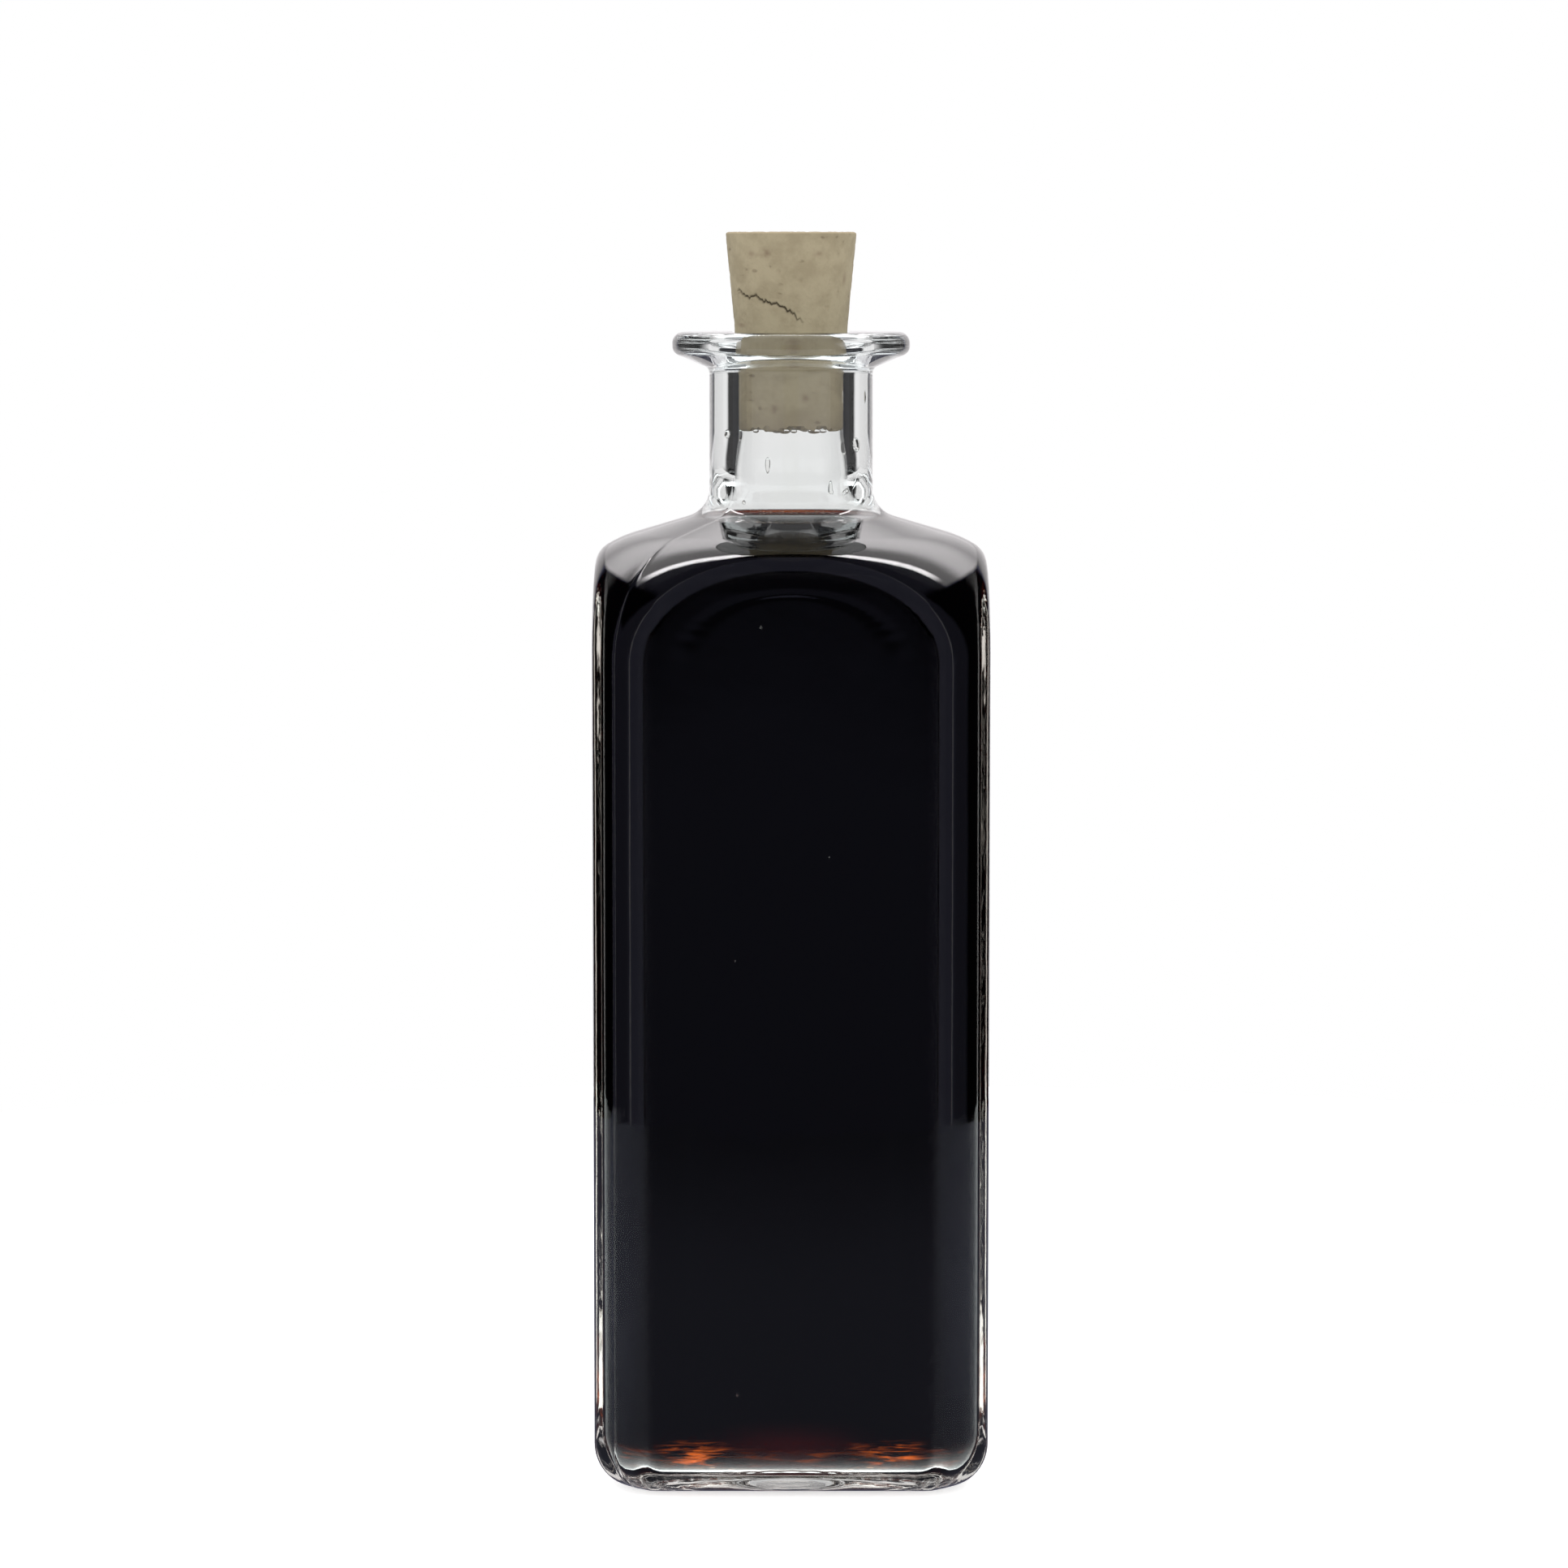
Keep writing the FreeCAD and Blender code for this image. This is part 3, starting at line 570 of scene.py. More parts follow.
def build_drops(s):
    """Clear drops on the inside of the neck and under the cork, as long balls pressed on the glass."""
    drop_inset = 0.00012
    level = DRINK_HIGH.z
    end = CORK_LOW.z
    # Degrees round, from the right side towards the back, height as a share of the free neck, half width and
    # half height.
    drops = np.array([
        (-17.0, 0.86, 0.0007, 0.0013),
        (-163.0, 0.97, 0.0006, 0.0008),
        (-40.0, 0.42, 0.0004, 0.0005),
        (-128.0, 0.30, 0.0003, 0.0004),
        (40.0, 0.62, 0.0006, 0.0009),
        (118.0, 0.75, 0.0005, 0.0008),
    ])
    azimuth = np.radians(drops[:, 0])
    height = level + (end - level) * drops[:, 1]
    radius = bore_radius(s, height) - drop_inset
    wall = np.stack([radius * np.cos(azimuth), radius * np.sin(azimuth), height], axis=-1)
    sizes = np.stack([drops[:, 2], drops[:, 2], drops[:, 3]], axis=-1)
    # Wet blobs that cling to the cork's front lower edge: across, towards the back, half sizes.
    blobs = np.array([
        (-0.0021, -0.0080, 0.0007, 0.0005, 0.0003), (-0.0010, -0.0083, 0.0009, 0.0005, 0.0004),
        (0.0004, -0.0082, 0.0005, 0.0004, 0.0003), (0.0034, -0.0076, 0.0010, 0.0005, 0.0004),
        (0.0047, -0.0071, 0.0005, 0.0004, 0.0003), (-0.0052, -0.0067, 0.0004, 0.0004, 0.0003),
    ])
    under = np.column_stack([blobs[:, :2], np.full(len(blobs), end + 0.1 * MM)])
    centres = np.concatenate([wall, under])
    sizes = np.concatenate([sizes, blobs[:, 2:]])
    made = ball_cloud("Neck_drops", centres, sizes, 11, 18)
    made.data.materials.append(clear_drop())
    return made


def build_bubbles(s):
    """Air bubbles shut in the glass of the panels and the neck."""
    half = GLASS_HIGH.x - s.wall / 2
    neck = s.neck_diameter / 2 - 1.2 * MM
    up = GLASS_HIGH.z
    centres = np.array([
        (-0.0050, -half, up * 0.752), (-0.0093, -half, up * 0.467), (-0.0090, -half, up * 0.091),
        (0.0063, -half, up * 0.556), (0.0110, half, up * 0.350), (half, 0.0070, up * 0.620),
        (-half, -0.0040, up * 0.250), (neck * 0.93, -neck * 0.37, up * 0.944),
    ])
    sizes = np.array([
        (0.00022, 0.00022, 0.00030), (0.00018, 0.00018, 0.00018), (0.00020, 0.00020, 0.00026),
        (0.00016, 0.00016, 0.00020), (0.00020, 0.00020, 0.00030), (0.00018, 0.00018, 0.00024),
        (0.00018, 0.00018, 0.00018), (0.00025, 0.00025, 0.00110),
    ])
    made = ball_cloud("Glass_bubbles", centres, sizes, 9, 14)
    made.data.materials.append(air_bubble())
    return made


# Degrees round from the front and millimetres above the lip, along the crack.
CRACK = np.array([
    (-64, 7.3), (-55, 6.6), (-48, 6.0), (-42, 6.3), (-36, 6.2), (-32, 5.7), (-27, 5.0),
    (-20, 5.1), (-14, 4.6), (-9, 4.5), (-3, 3.7), (2, 3.3), (7, 2.4), (12, 1.7),
], float)
CRACK_JAG = 0.00016
# Waves of the fine roughness and of the torn lower end: step of the seed, size and share.
ROUGH_WAVES = ((0, 0.0030, 0.6), (1, 0.0011, 0.5))
TORN_WAVES = ((3, 0.0042, 0.7), (4, 0.0016, 0.5))
# Degrees over which the crack deepens after its left end and runs out before its right end.
CRACK_LEFT, CRACK_RIGHT = 6, 14
# Degrees round from the front, millimetres above the lip, half width, half height and depth.
CHIPS = (
    (84, 12.4, 0.9, 0.8, 0.45), (88, 5.8, 0.8, 1.0, 0.40), (-86, 9.2, 0.6, 0.7, 0.25),
    (150, 7.5, 1.6, 1.0, 0.40), (-140, 11.0, 1.2, 1.4, 0.35), (24, 16.8, 1.5, 0.5, 0.30),
    (9, 8.7, 0.45, 0.35, 0.22), (-12, 10.3, 0.35, 0.30, 0.20), (38, 4.2, 0.40, 0.30, 0.22),
)
# The same places and sizes for stains, and how much of the stain's colour shows.
STAINS = (
    (-39, 13.2, 1.0, 0.7, 0.5), (-22, 13.3, 0.9, 0.8, 0.6), (26, 13.2, 1.1, 0.6, 0.5),
    (-30, 13.0, 2.2, 0.5, 0.25), (2, -2.4, 1.4, 1.0, 0.55), (14, -11.0, 0.8, 0.8, 0.6),
    (-16, -12.8, 0.7, 0.9, 0.6), (-60, 1.2, 2.2, 0.6, 0.5), (60, 9.0, 0.7, 1.1, 0.45),
    (170, 12.0, 2.0, 1.0, 0.6), (120, 3.0, 1.4, 1.2, 0.5),
)


def cork_waves(points, parts):
    """Sum of soft unevenness of several sizes."""
    return sum(waves(points, CORK_SEED + step, size) * share for step, size, share in parts)


def crack_share_of(c, round_front, above, azimuth, top_radius):
    """Share of the crack at each point: exp(-(distance from its line / width)^2), less past its ends."""
    line = np.interp(round_front, CRACK[:, 0], CRACK[:, 1], left=-99, right=-99) * MM
    jag = np.random.default_rng(CORK_SEED + 7).uniform(-1, 1, len(azimuth))
    line = line + CRACK_JAG * (jag + np.roll(jag, 1) + np.roll(jag, 2) + 0.6 * np.roll(jag, 3))
    slope = np.gradient(line, azimuth * top_radius)
    slope = np.clip(np.where(np.abs(slope) > 3, 0, slope), -2, 2)
    off = np.abs(above - line[None, :]) / np.sqrt(1 + slope[None, :] ** 2)
    ends = np.clip((round_front - CRACK[0, 0]) / CRACK_LEFT, 0, 1)
    ends = ends * np.clip((CRACK[-1, 0] - round_front) / CRACK_RIGHT, 0, 1)
    return np.exp(-(off / c.crack_width) ** 2) * (0.25 + 0.75 * ends[None, :])


def spots(table, round_front, above, top_radius):
    """For each spot of a table, the square of the distance from it in its own sizes, and its last value."""
    for turn, level, wide, tall, share in table:
        aside = ((round_front - turn + 180) % 360 - 180) * math.radians(1) * top_radius
        yield (aside[None, :] / (wide * MM)) ** 2 + ((above - level * MM) / (tall * MM)) ** 2, share


def build_cork(s, c):
    """The cork as one closed surface: a tapered turned side with fine roughness, a crack and chips.

    The side's radius follows the taper; the crack sinks it by depth * its share, and each chip by
    depth * exp(-distance^3). The lower end is uneven and rounded.
    """
    clear = 0.00003
    pole = 0.0008
    columns = 480
    lip_clear, lip_blend, held_share = 0.0006, 0.0002, 0.15
    flat_end, flat_blend = 0.004, 0.003
    torn_height, wet_height = 0.0022, 0.004
    # Painted highlight: the shader lightens the top face and its rim over this height, blended over this
    # width.
    highlight_height, highlight_blend = 0.00045, 0.0002
    b = bottle_sizes(s)
    low, high, top_radius = CORK_LOW.z, CORK_HIGH.z, CORK_HIGH.x
    azimuth = np.arange(columns) * 2 * math.pi / columns
    across, up = rounded_profile([
        (pole, high, 0, 0, 0),
        (top_radius, high, c.edge, 5, 7),
        (b["mouth"] - clear, b["top"], GRIP_ROUNDING, 2, 118),
        (b["bore"] - clear, b["top"] - s.mouth_depth, GRIP_ROUNDING, 2, 12),
        (b["bore"] - clear, low, c.edge, 5, 30),
        (pole, low, 0, 0, 7),
    ])[:2]
    radius = across[:, None] * np.ones((1, columns))
    height = up[:, None] * np.ones((1, columns))
    points = points_round(radius, height, azimuth)
    above = height - b["top"]
    rough = np.clip(cork_waves(points, ROUGH_WAVES), -1, 0.2)
    round_front = (np.degrees(azimuth) + 90 + 180) % 360 - 180
    crack_share = crack_share_of(c, round_front, above, azimuth, top_radius)
    chips = np.zeros_like(radius)
    for far, deep in spots(CHIPS, round_front, above, top_radius):
        chips += deep * MM * np.exp(-far ** 1.5)
    # The flat ends stay plain, and inside the neck the side follows the glass.
    side = np.clip((across - flat_end) / flat_blend, 0, 1)[:, None]
    free = 1 / (1 + np.exp(-(above - lip_clear) / lip_blend))
    sink = (c.roughness * (1 - rough) + c.crack_depth * crack_share + chips) * side
    radius = radius - sink * (held_share + (1 - held_share) * free)
    on_top = (up > high - 0.0002)[:, None]
    hollow = c.dish * np.clip(1 - (across / top_radius) ** 2, 0, 1)[:, None]
    height = height - np.where(on_top, hollow + c.roughness * (1 - rough), 0)
    near_end = np.clip(1 - (height - low) / torn_height, 0, 1) ** 2
    height = height + near_end * c.ragged * np.clip(cork_waves(points, TORN_WAVES) + 0.5, 0, 1)
    rows = points_round(radius, height, azimuth)
    made = closed_surface("Cork", rows, [0, 0, high - c.dish], [0, 0, low + c.ragged * 0.5])
    stains = np.zeros_like(radius)
    for far, share in spots(STAINS, round_front, above, top_radius):
        stains = np.maximum(stains, share * np.exp(-far * (1.5 - 1.6 * rough)))
    wet = np.clip((low + wet_height - height) / wet_height, 0, 1)
    # Painted highlight: share of the top face and rim that the shader lightens, for the overhead light that
    # catches the top.
    rim = np.clip((height - high + highlight_height) / highlight_blend, 0, 1)
    # The crack's share sinks the side above and also darkens the crack in the shader as painted shade.
    for name, share in (("crack", crack_share * side), ("stain", stains * side), ("wet", wet), ("rim", rim)):
        layer = made.data.attributes.new(name, "FLOAT", "POINT")
        values = np.concatenate([[0.0], share.reshape(-1), [0.0]])
        layer.data.foreach_set("value", values.astype(np.float32))
    made.data.materials.append(cork_material(c))
    return made


# ---------------------------------------------------------------- materials


def node(tree, kind, links=None, **settings):
    """A shader node with its settings and inputs. An input is a plain value or another node's output."""
    made = tree.nodes.new(kind)
    for name, value in settings.items():
        setattr(made, name, value)
    for name, value in (links or {}).items():
        if isinstance(value, bpy.types.NodeSocket):
            tree.links.new(value, made.inputs[name])
        else:
            made.inputs[name].default_value = value
    return made


def maths(tree, operation, first, second=0.0, third=0.0, clamp=False):
    made = node(tree, "ShaderNodeMath", {0: first, 1: second, 2: third}, operation=operation, use_clamp=clamp)
    return made.outputs[0]


def fade(tree, value, start, stop, low=0.0, high=1.0):
    """Smooth step of a value from low at start to high at stop."""
    made = node(tree, "ShaderNodeMapRange", {"Value": value, "From Min": start, "From Max": stop,
                                             "To Min": low, "To Max": high}, interpolation_type="SMOOTHSTEP")
    return made.outputs["Result"]


def chain(tree, operation, first, *others):
    """One operation over several values: ((first, second), third) and so on."""
    for value in others:
        first = maths(tree, operation, first, value)
    return first


def band(tree, value, places, high=1.0):
    """Smooth band: none before the first place, high between the middle two, none after the last."""
    start, full, going, gone = places
    return maths(tree, "MULTIPLY", fade(tree, value, start, full), fade(tree, value, gone, going, 0.0, high))


def mix_colour(tree, share, first, second, blend="MIX"):
    made = tree.nodes.new("ShaderNodeMix")
    made.data_type = "RGBA"
    made.blend_type = blend
    for socket, value in ((0, share), (6, first), (7, second)):
        if isinstance(value, bpy.types.NodeSocket):
            tree.links.new(value, made.inputs[socket])
        elif socket:
            made.inputs[socket].default_value = tuple(value) + (1.0,)
        else:
            made.inputs[socket].default_value = value
    return made.outputs[2]


def group(name, inputs, outputs):
    """An empty node group with named inputs and outputs, or None in place of its ends if it exists."""
    made = bpy.data.node_groups.get(name)
    if made:
        return made, None, None
    made = bpy.data.node_groups.new(name, "ShaderNodeTree")
    for socket, kind in inputs:
        made.interface.new_socket(socket, in_out="INPUT", socket_type="NodeSocket" + kind)
    for socket, kind in outputs:
        made.interface.new_socket(socket, in_out="OUTPUT", socket_type="NodeSocket" + kind)
    return made, made.nodes.new("NodeGroupInput"), made.nodes.new("NodeGroupOutput")


def use_group(tree, made, **links):
    return node(tree, "ShaderNodeGroup", links, node_tree=made)


def material(name):
    made = bpy.data.materials.get(name) or bpy.data.materials.new(name)
    made.use_nodes = True
    made.node_tree.nodes.clear()
    return made, made.node_tree


def object_place(tree):
    return node(tree, "ShaderNodeTexCoord").outputs["Object"]


def glass_surface():
    """Faint waves and a faint change of tint over blown or moulded glass."""
    made, start, end = group("Glass surface", [("Coordinate", "Vector"), ("Tint", "Color")],
                             [("Color", "Color"), ("Height", "Float")])
    if start is None:
        return made
    broad = node(made, "ShaderNodeTexNoise", {"Vector": start.outputs[0], "Scale": 55.0, "Detail": 1.0})
    fine = node(made, "ShaderNodeTexNoise", {"Vector": start.outputs[0], "Scale": 320.0, "Detail": 1.0})
    height = maths(made, "MULTIPLY_ADD", fine.outputs[0], 0.12, broad.outputs[0])
    shade = mix_colour(made, fade(made, broad.outputs[0], 0.3, 0.7), start.outputs[1], (0.975, 0.985, 0.980),
                       "MULTIPLY")
    made.links.new(shade, end.inputs["Color"])
    made.links.new(height, end.inputs["Height"])
    return made


def glass_output(tree, principled, volume=None):
    """Let lamps shine through: light on its way to a lamp passes straight, all else meets the glass."""
    path = node(tree, "ShaderNodeLightPath")
    clear = node(tree, "ShaderNodeBsdfTransparent", {"Color": (0.9, 0.9, 0.9, 1.0)})
    mixed = node(tree, "ShaderNodeMixShader", {0: path.outputs["Is Shadow Ray"], 1: principled.outputs[0],
                                               2: clear.outputs[0]})
    end = node(tree, "ShaderNodeOutputMaterial", {"Surface": mixed.outputs[0]})
    if volume:
        tree.links.new(volume, end.inputs["Volume"])


def see_through(name, tint, bending, relief=0.0, more=None):
    """A smooth material that light passes into, with the faint waves and change of tint of glass.

    Gives back the material, its node tree and its shader.
    """
    made, tree = material(name)
    surface = use_group(tree, glass_surface(), Coordinate=object_place(tree), Tint=tuple(tint) + (1.0,))
    principled = node(tree, "ShaderNodeBsdfPrincipled", {
        "Base Color": surface.outputs["Color"], "Roughness": 0.0, "IOR": bending,
        "Transmission Weight": 1.0, **(more or {}),
    })
    if relief:
        bump = node(tree, "ShaderNodeBump", {"Strength": relief, "Distance": 0.0002,
                                             "Height": surface.outputs["Height"]})
        tree.links.new(bump.outputs[0], principled.inputs["Normal"])
    return made, tree, principled


def clear_glass(s, name, mirror):
    """Clear glass. Where it is wetted it mirrors nothing square on, as drink and glass are much alike."""
    made, tree, principled = see_through(name, s.tint, 1.5, 0.25,
                                         {"Specular Tint": (mirror, mirror, mirror, 1.0)})
    glass_output(tree, principled)
    return made


def gathered_light():
    """Light that gathers low in the drink beside the middle of the front and back, in level streaks.

    Two bright patches lie left and right of the middle, in a faint band as wide as the bottle, both broken
    into streaks by stretched noise. A deep red patch fades from the middle outwards and upwards.
    """
    made, start, end = group("Gathered light", [("Coordinate", "Vector"), ("Glow", "Color")],
                             [("Emission Color", "Color")])
    if start is None:
        return made
    patch_aside = (0.0085, 0.0170, 0.0175, 0.0240)
    patch_up = (0.0052, 0.0064, 0.0078, 0.0100)
    band_up, band_share = (0.0050, 0.0062, 0.0070, 0.0088), 0.16
    deep_aside, deep_up, deep_share, deep_red = 0.0150, (0.0135, 0.0085), 0.035, (0.35, 0.03, 0.04)
    size = node(made, "ShaderNodeVectorMath", {0: start.outputs[0]}, operation="ABSOLUTE").outputs[0]
    along, y, up = node(made, "ShaderNodeSeparateXYZ", {"Vector": size}).outputs
    stretched = node(made, "ShaderNodeMapping", {"Vector": start.outputs[0], "Scale": (170.0, 170.0, 1700.0)})
    streaks = node(made, "ShaderNodeTexNoise", {"Vector": stretched.outputs[0], "Scale": 1.0, "Detail": 4.0,
                                                "Roughness": 0.65, "Distortion": 0.6})
    side = fade(made, y, 0.0245, 0.0265)
    patches = chain(made, "MULTIPLY", band(made, along, patch_aside), band(made, up, patch_up))
    share = maths(made, "MAXIMUM", patches, band(made, up, band_up, band_share))
    share = chain(made, "MULTIPLY", share, fade(made, streaks.outputs[0], 0.46, 0.72), side)
    deep = chain(made, "MULTIPLY", fade(made, along, deep_aside, 0.0),
                 fade(made, up, *deep_up, 0.0, deep_share), side)
    shade = mix_colour(made, share, BLACK, start.outputs[1])
    shade = mix_colour(made, 1.0, shade, mix_colour(made, deep, BLACK, deep_red), "ADD")
    made.links.new(shade, end.inputs[0])
    return made


def dark_drink(d):
    """Drink that takes up light as it passes, and carries the gathered light low down as a glow."""
    made, tree, principled = see_through("Dark drink", WHITE[:3], 1.34, more={
        "Specular Tint": BLACK + (1.0,), "Emission Strength": 1.0,
    })
    glow = use_group(tree, gathered_light(), Coordinate=object_place(tree), Glow=(1.0, 0.19, 0.018, 1.0))
    tree.links.new(glow.outputs[0], principled.inputs["Emission Color"])
    dark = node(tree, "ShaderNodeVolumeAbsorption", {"Color": tuple(d.glow) + (1.0,), "Density": d.darkness})
    glass_output(tree, principled, dark.outputs[0])
    return made


def clear_drop():
    made, tree, principled = see_through("Clear drop", (0.99, 0.98, 0.97), 1.33)
    glass_output(tree, principled)
    return made


def air_bubble():
    """Air shut in glass: light bends as it does from glass into air."""
    made, tree, principled = see_through("Air bubble", WHITE[:3], 0.667)
    glass_output(tree, principled)
    return made


def cork_surface():
    """Cork's colour, roughness and relief: mottled grain, small dark pores, stains, a wet end, painted shade
    in the crack and a painted highlight on the top rim.
    """
    made, start, end = group(
        "Cork surface",
        [("Coordinate", "Vector"), ("Light", "Color"), ("Dark", "Color"), ("Stain colour", "Color"),
         ("Crack_shade", "Float"), ("Stain", "Float"), ("Wet", "Float"), ("Rim_highlight", "Float")],
        [("Color", "Color"), ("Roughness", "Float"), ("Height", "Float")])
    if start is None:
        return made
    place, light, dark, stain_colour, crack, stain, wet, rim = start.outputs[:8]
    mottle = node(made, "ShaderNodeTexNoise", {"Vector": place, "Scale": 260.0, "Detail": 5.0,
                                               "Roughness": 0.6})
    grain = node(made, "ShaderNodeTexNoise", {"Vector": place, "Scale": 1400.0, "Detail": 3.0,
                                              "Roughness": 0.65})
    flat = node(made, "ShaderNodeMapping", {"Vector": place, "Scale": (1.0, 1.0, 1.8)})
    pores = node(made, "ShaderNodeTexVoronoi", {"Vector": flat.outputs[0], "Scale": 420.0, "Randomness": 1.0})
    gate = node(made, "ShaderNodeTexNoise", {"Vector": place, "Scale": 520.0, "Detail": 1.0})
    pore = maths(made, "MULTIPLY", fade(made, pores.outputs["Distance"], 0.30, 0.12),
                 fade(made, gate.outputs[0], 0.58, 0.70))
    share = fade(made, mottle.outputs[0], 0.40, 0.68)
    shade = mix_colour(made, share, light, dark)
    shade = mix_colour(made, fade(made, grain.outputs[0], 0.50, 0.72, 0.0, 0.35), shade, dark)
    shade = mix_colour(made, maths(made, "MULTIPLY", pore, 0.42), shade, (0.11, 0.075, 0.045))
    # Painted highlight: the top face and rim are mixed towards a light tan, for the overhead light that
    # catches them.
    shade = mix_colour(made, maths(made, "MULTIPLY", rim, 0.7), shade, (0.52, 0.42, 0.28))
    shade = mix_colour(made, stain, shade, stain_colour)
    # Painted shade: the crack is coloured near black, for the shade inside it; its sinking into the cork is
    # modelled above.
    shade = mix_colour(made, crack, shade, (0.035, 0.022, 0.015))
    shade = mix_colour(made, maths(made, "MULTIPLY", wet, 0.35), shade, (0.15, 0.11, 0.07))
    rough = maths(made, "MULTIPLY_ADD", wet, -0.4, 0.82)
    height = maths(made, "SUBTRACT", maths(made, "MULTIPLY", grain.outputs[0], 0.6), pore)
    height = maths(made, "MULTIPLY_ADD", mottle.outputs[0], 0.8, height)
    made.links.new(shade, end.inputs["Color"])
    made.links.new(rough, end.inputs["Roughness"])
    made.links.new(height, end.inputs["Height"])
    return made


def cork_material(c):
    made, tree = material("Cork")
    shares = {name: node(tree, "ShaderNodeAttribute", attribute_name=name).outputs["Fac"]
              for name in ("crack", "stain", "wet", "rim")}
    surface = node(tree, "ShaderNodeGroup", {
        "Coordinate": object_place(tree), "Light": tuple(c.light) + (1.0,), "Dark": tuple(c.dark) + (1.0,),
        "Stain colour": tuple(c.stain) + (1.0,), "Crack_shade": shares["crack"], "Stain": shares["stain"],
        "Wet": shares["wet"], "Rim_highlight": shares["rim"],
    }, node_tree=cork_surface())
    bump = node(tree, "ShaderNodeBump", {"Strength": 0.5, "Distance": 0.0002,
                                         "Height": surface.outputs["Height"]})
    principled = node(tree, "ShaderNodeBsdfPrincipled", {
        "Base Color": surface.outputs["Color"], "Roughness": surface.outputs["Roughness"],
        "Normal": bump.outputs[0], "Specular IOR Level": 0.25,
    })
    node(tree, "ShaderNodeOutputMaterial", {"Surface": principled.outputs[0]})
    return made


# ---------------------------------------------------------------- stage


# Brightness of the table as seen through glass, and what is added to its soft light where it is looked at.
TABLE_THROUGH, TABLE_THROUGH_TONE = 1.7, (0.94, 1.0, 1.01, 1.0)
TABLE_LIFT = 0.58
# Mirrored in the glass the table is dim, between these values from its rim to its middle, and bluish.
TABLE_RIM, TABLE_MIDDLE, TABLE_SIDES = 0.09, 0.19, 0.16
COOL_TONE = (0.90, 0.92, 1.25, 1.0)

# The room as it shows in the glass. "Back" and "aside" are where a direction meets a flat ceiling one step
# up; "front" is the share of a level direction that points to the front, from -1 to 1; "up" and "wide" are
# parts of the direction itself. Four numbers are the places of a band, and two are those of a fade.
STRIP_BACK, STRIP_ASIDE = (0.39, 0.43, 0.48, 0.53), (0.95, 0.70)
GLOW_BACK = (0.66, 1.00, 0.85, 2.40)
SPILL_BACK, SPILL_LIGHT = (0.38, 0.46), 1.15
CEILING_ASIDE, CEILING_UP = (1.08, 0.98), (0.08, 0.14)
WALL_FRONT, WALL_UP, WALL_LIGHT = (-0.78, -0.88), (0.50, 0.30), 0.90
INNER_UP, INNER_LIGHT, INNER_WIDE = (-0.05, -0.105), (0.03, 0.10), (0.09, 0.075)
OUTER_WIDE, OUTER_UP, OUTER_BACK, OUTER_LIGHT = (0.15, 0.20), (0.03, 0.09), (-0.2, 0.0), 0.24
DARK_FRONT, DARK_ASIDE, DARK_SHARE = (0.02, -0.03), (0.85, 1.08), 0.94
GREY_FRONT, GREY_LIGHT = (0.22, 0.12), (1.0, 0.45)
EDGE_FRONT, EDGE_LIGHT = (0.17, 0.20, 0.24, 0.27), 0.45
# What shows through the glass is capped, and lifted towards the front below the ceiling.
THROUGH_MOST, THROUGH_FRONT, THROUGH_UP, THROUGH_LIGHT = 0.87, (0.10, 0.40), (0.80, 0.60), 0.85
# Surfaces without gloss get this light from level directions, and this much more from straight above.
EVEN_LIGHT, EVEN_RISE = 1.20, 0.10
DIM_TONE, BRIGHT_TONE, THROUGH_TONE = (0.86, 0.88, 1.28), (1.02, 0.985, 1.0), (1.0, 0.995, 1.0)


def build_floor(g):
    """Round pale table top: a flat disc in rows of rings, which is dimmer in reflections than to the eye."""
    top_height, low_height = -0.0001, -0.004
    azimuth = np.arange(96) * 2 * math.pi / 96
    radius = g.floor_radius * np.linspace(0.1, 1, 10)[:, None] * np.ones((1, len(azimuth)))
    top = points_round(radius, np.full_like(radius, top_height), azimuth)
    low = points_round(radius[-1:], np.full_like(radius[-1:], low_height), azimuth)
    made = closed_surface("Floor", np.concatenate([top, low]), [0, 0, top_height], [0, 0, low_height],
                          smooth=False)
    pale_table, tree = material("Pale table")
    path = node(tree, "ShaderNodeLightPath").outputs
    place = object_place(tree)
    grain = node(tree, "ShaderNodeTexNoise", {"Vector": place, "Scale": 30.0, "Detail": 2.0})
    tone = mix_colour(tree, grain.outputs[0], (0.90, 0.90, 0.90), (0.92, 0.92, 0.92))
    pale = node(tree, "ShaderNodeBsdfDiffuse", {"Color": tone})
    away = node(tree, "ShaderNodeVectorMath", {0: place}, operation="LENGTH").outputs["Value"]
    sideways = maths(tree, "ABSOLUTE", node(tree, "ShaderNodeSeparateXYZ", {"Vector": place}).outputs[0])
    glow = maths(tree, "ADD", fade(tree, away, 0.45, 0.20, TABLE_RIM, TABLE_MIDDLE),
                 fade(tree, sideways, 0.0, 0.20, 0.0, TABLE_SIDES))
    mirrored = node(tree, "ShaderNodeEmission", {"Color": COOL_TONE, "Strength": glow})
    through = node(tree, "ShaderNodeEmission", {"Color": TABLE_THROUGH_TONE, "Strength": TABLE_THROUGH})
    lift = node(tree, "ShaderNodeEmission", {"Color": WHITE, "Strength": TABLE_LIFT})
    mixed = node(tree, "ShaderNodeAddShader", {0: pale.outputs[0], 1: lift.outputs[0]})
    for ray, seen in (("Is Glossy Ray", mirrored), ("Is Transmission Ray", through)):
        mixed = node(tree, "ShaderNodeMixShader", {0: path[ray], 1: mixed.outputs[0], 2: seen.outputs[0]})
    node(tree, "ShaderNodeOutputMaterial", {"Surface": mixed.outputs[0]})
    made.data.materials.append(pale_table)
    return made


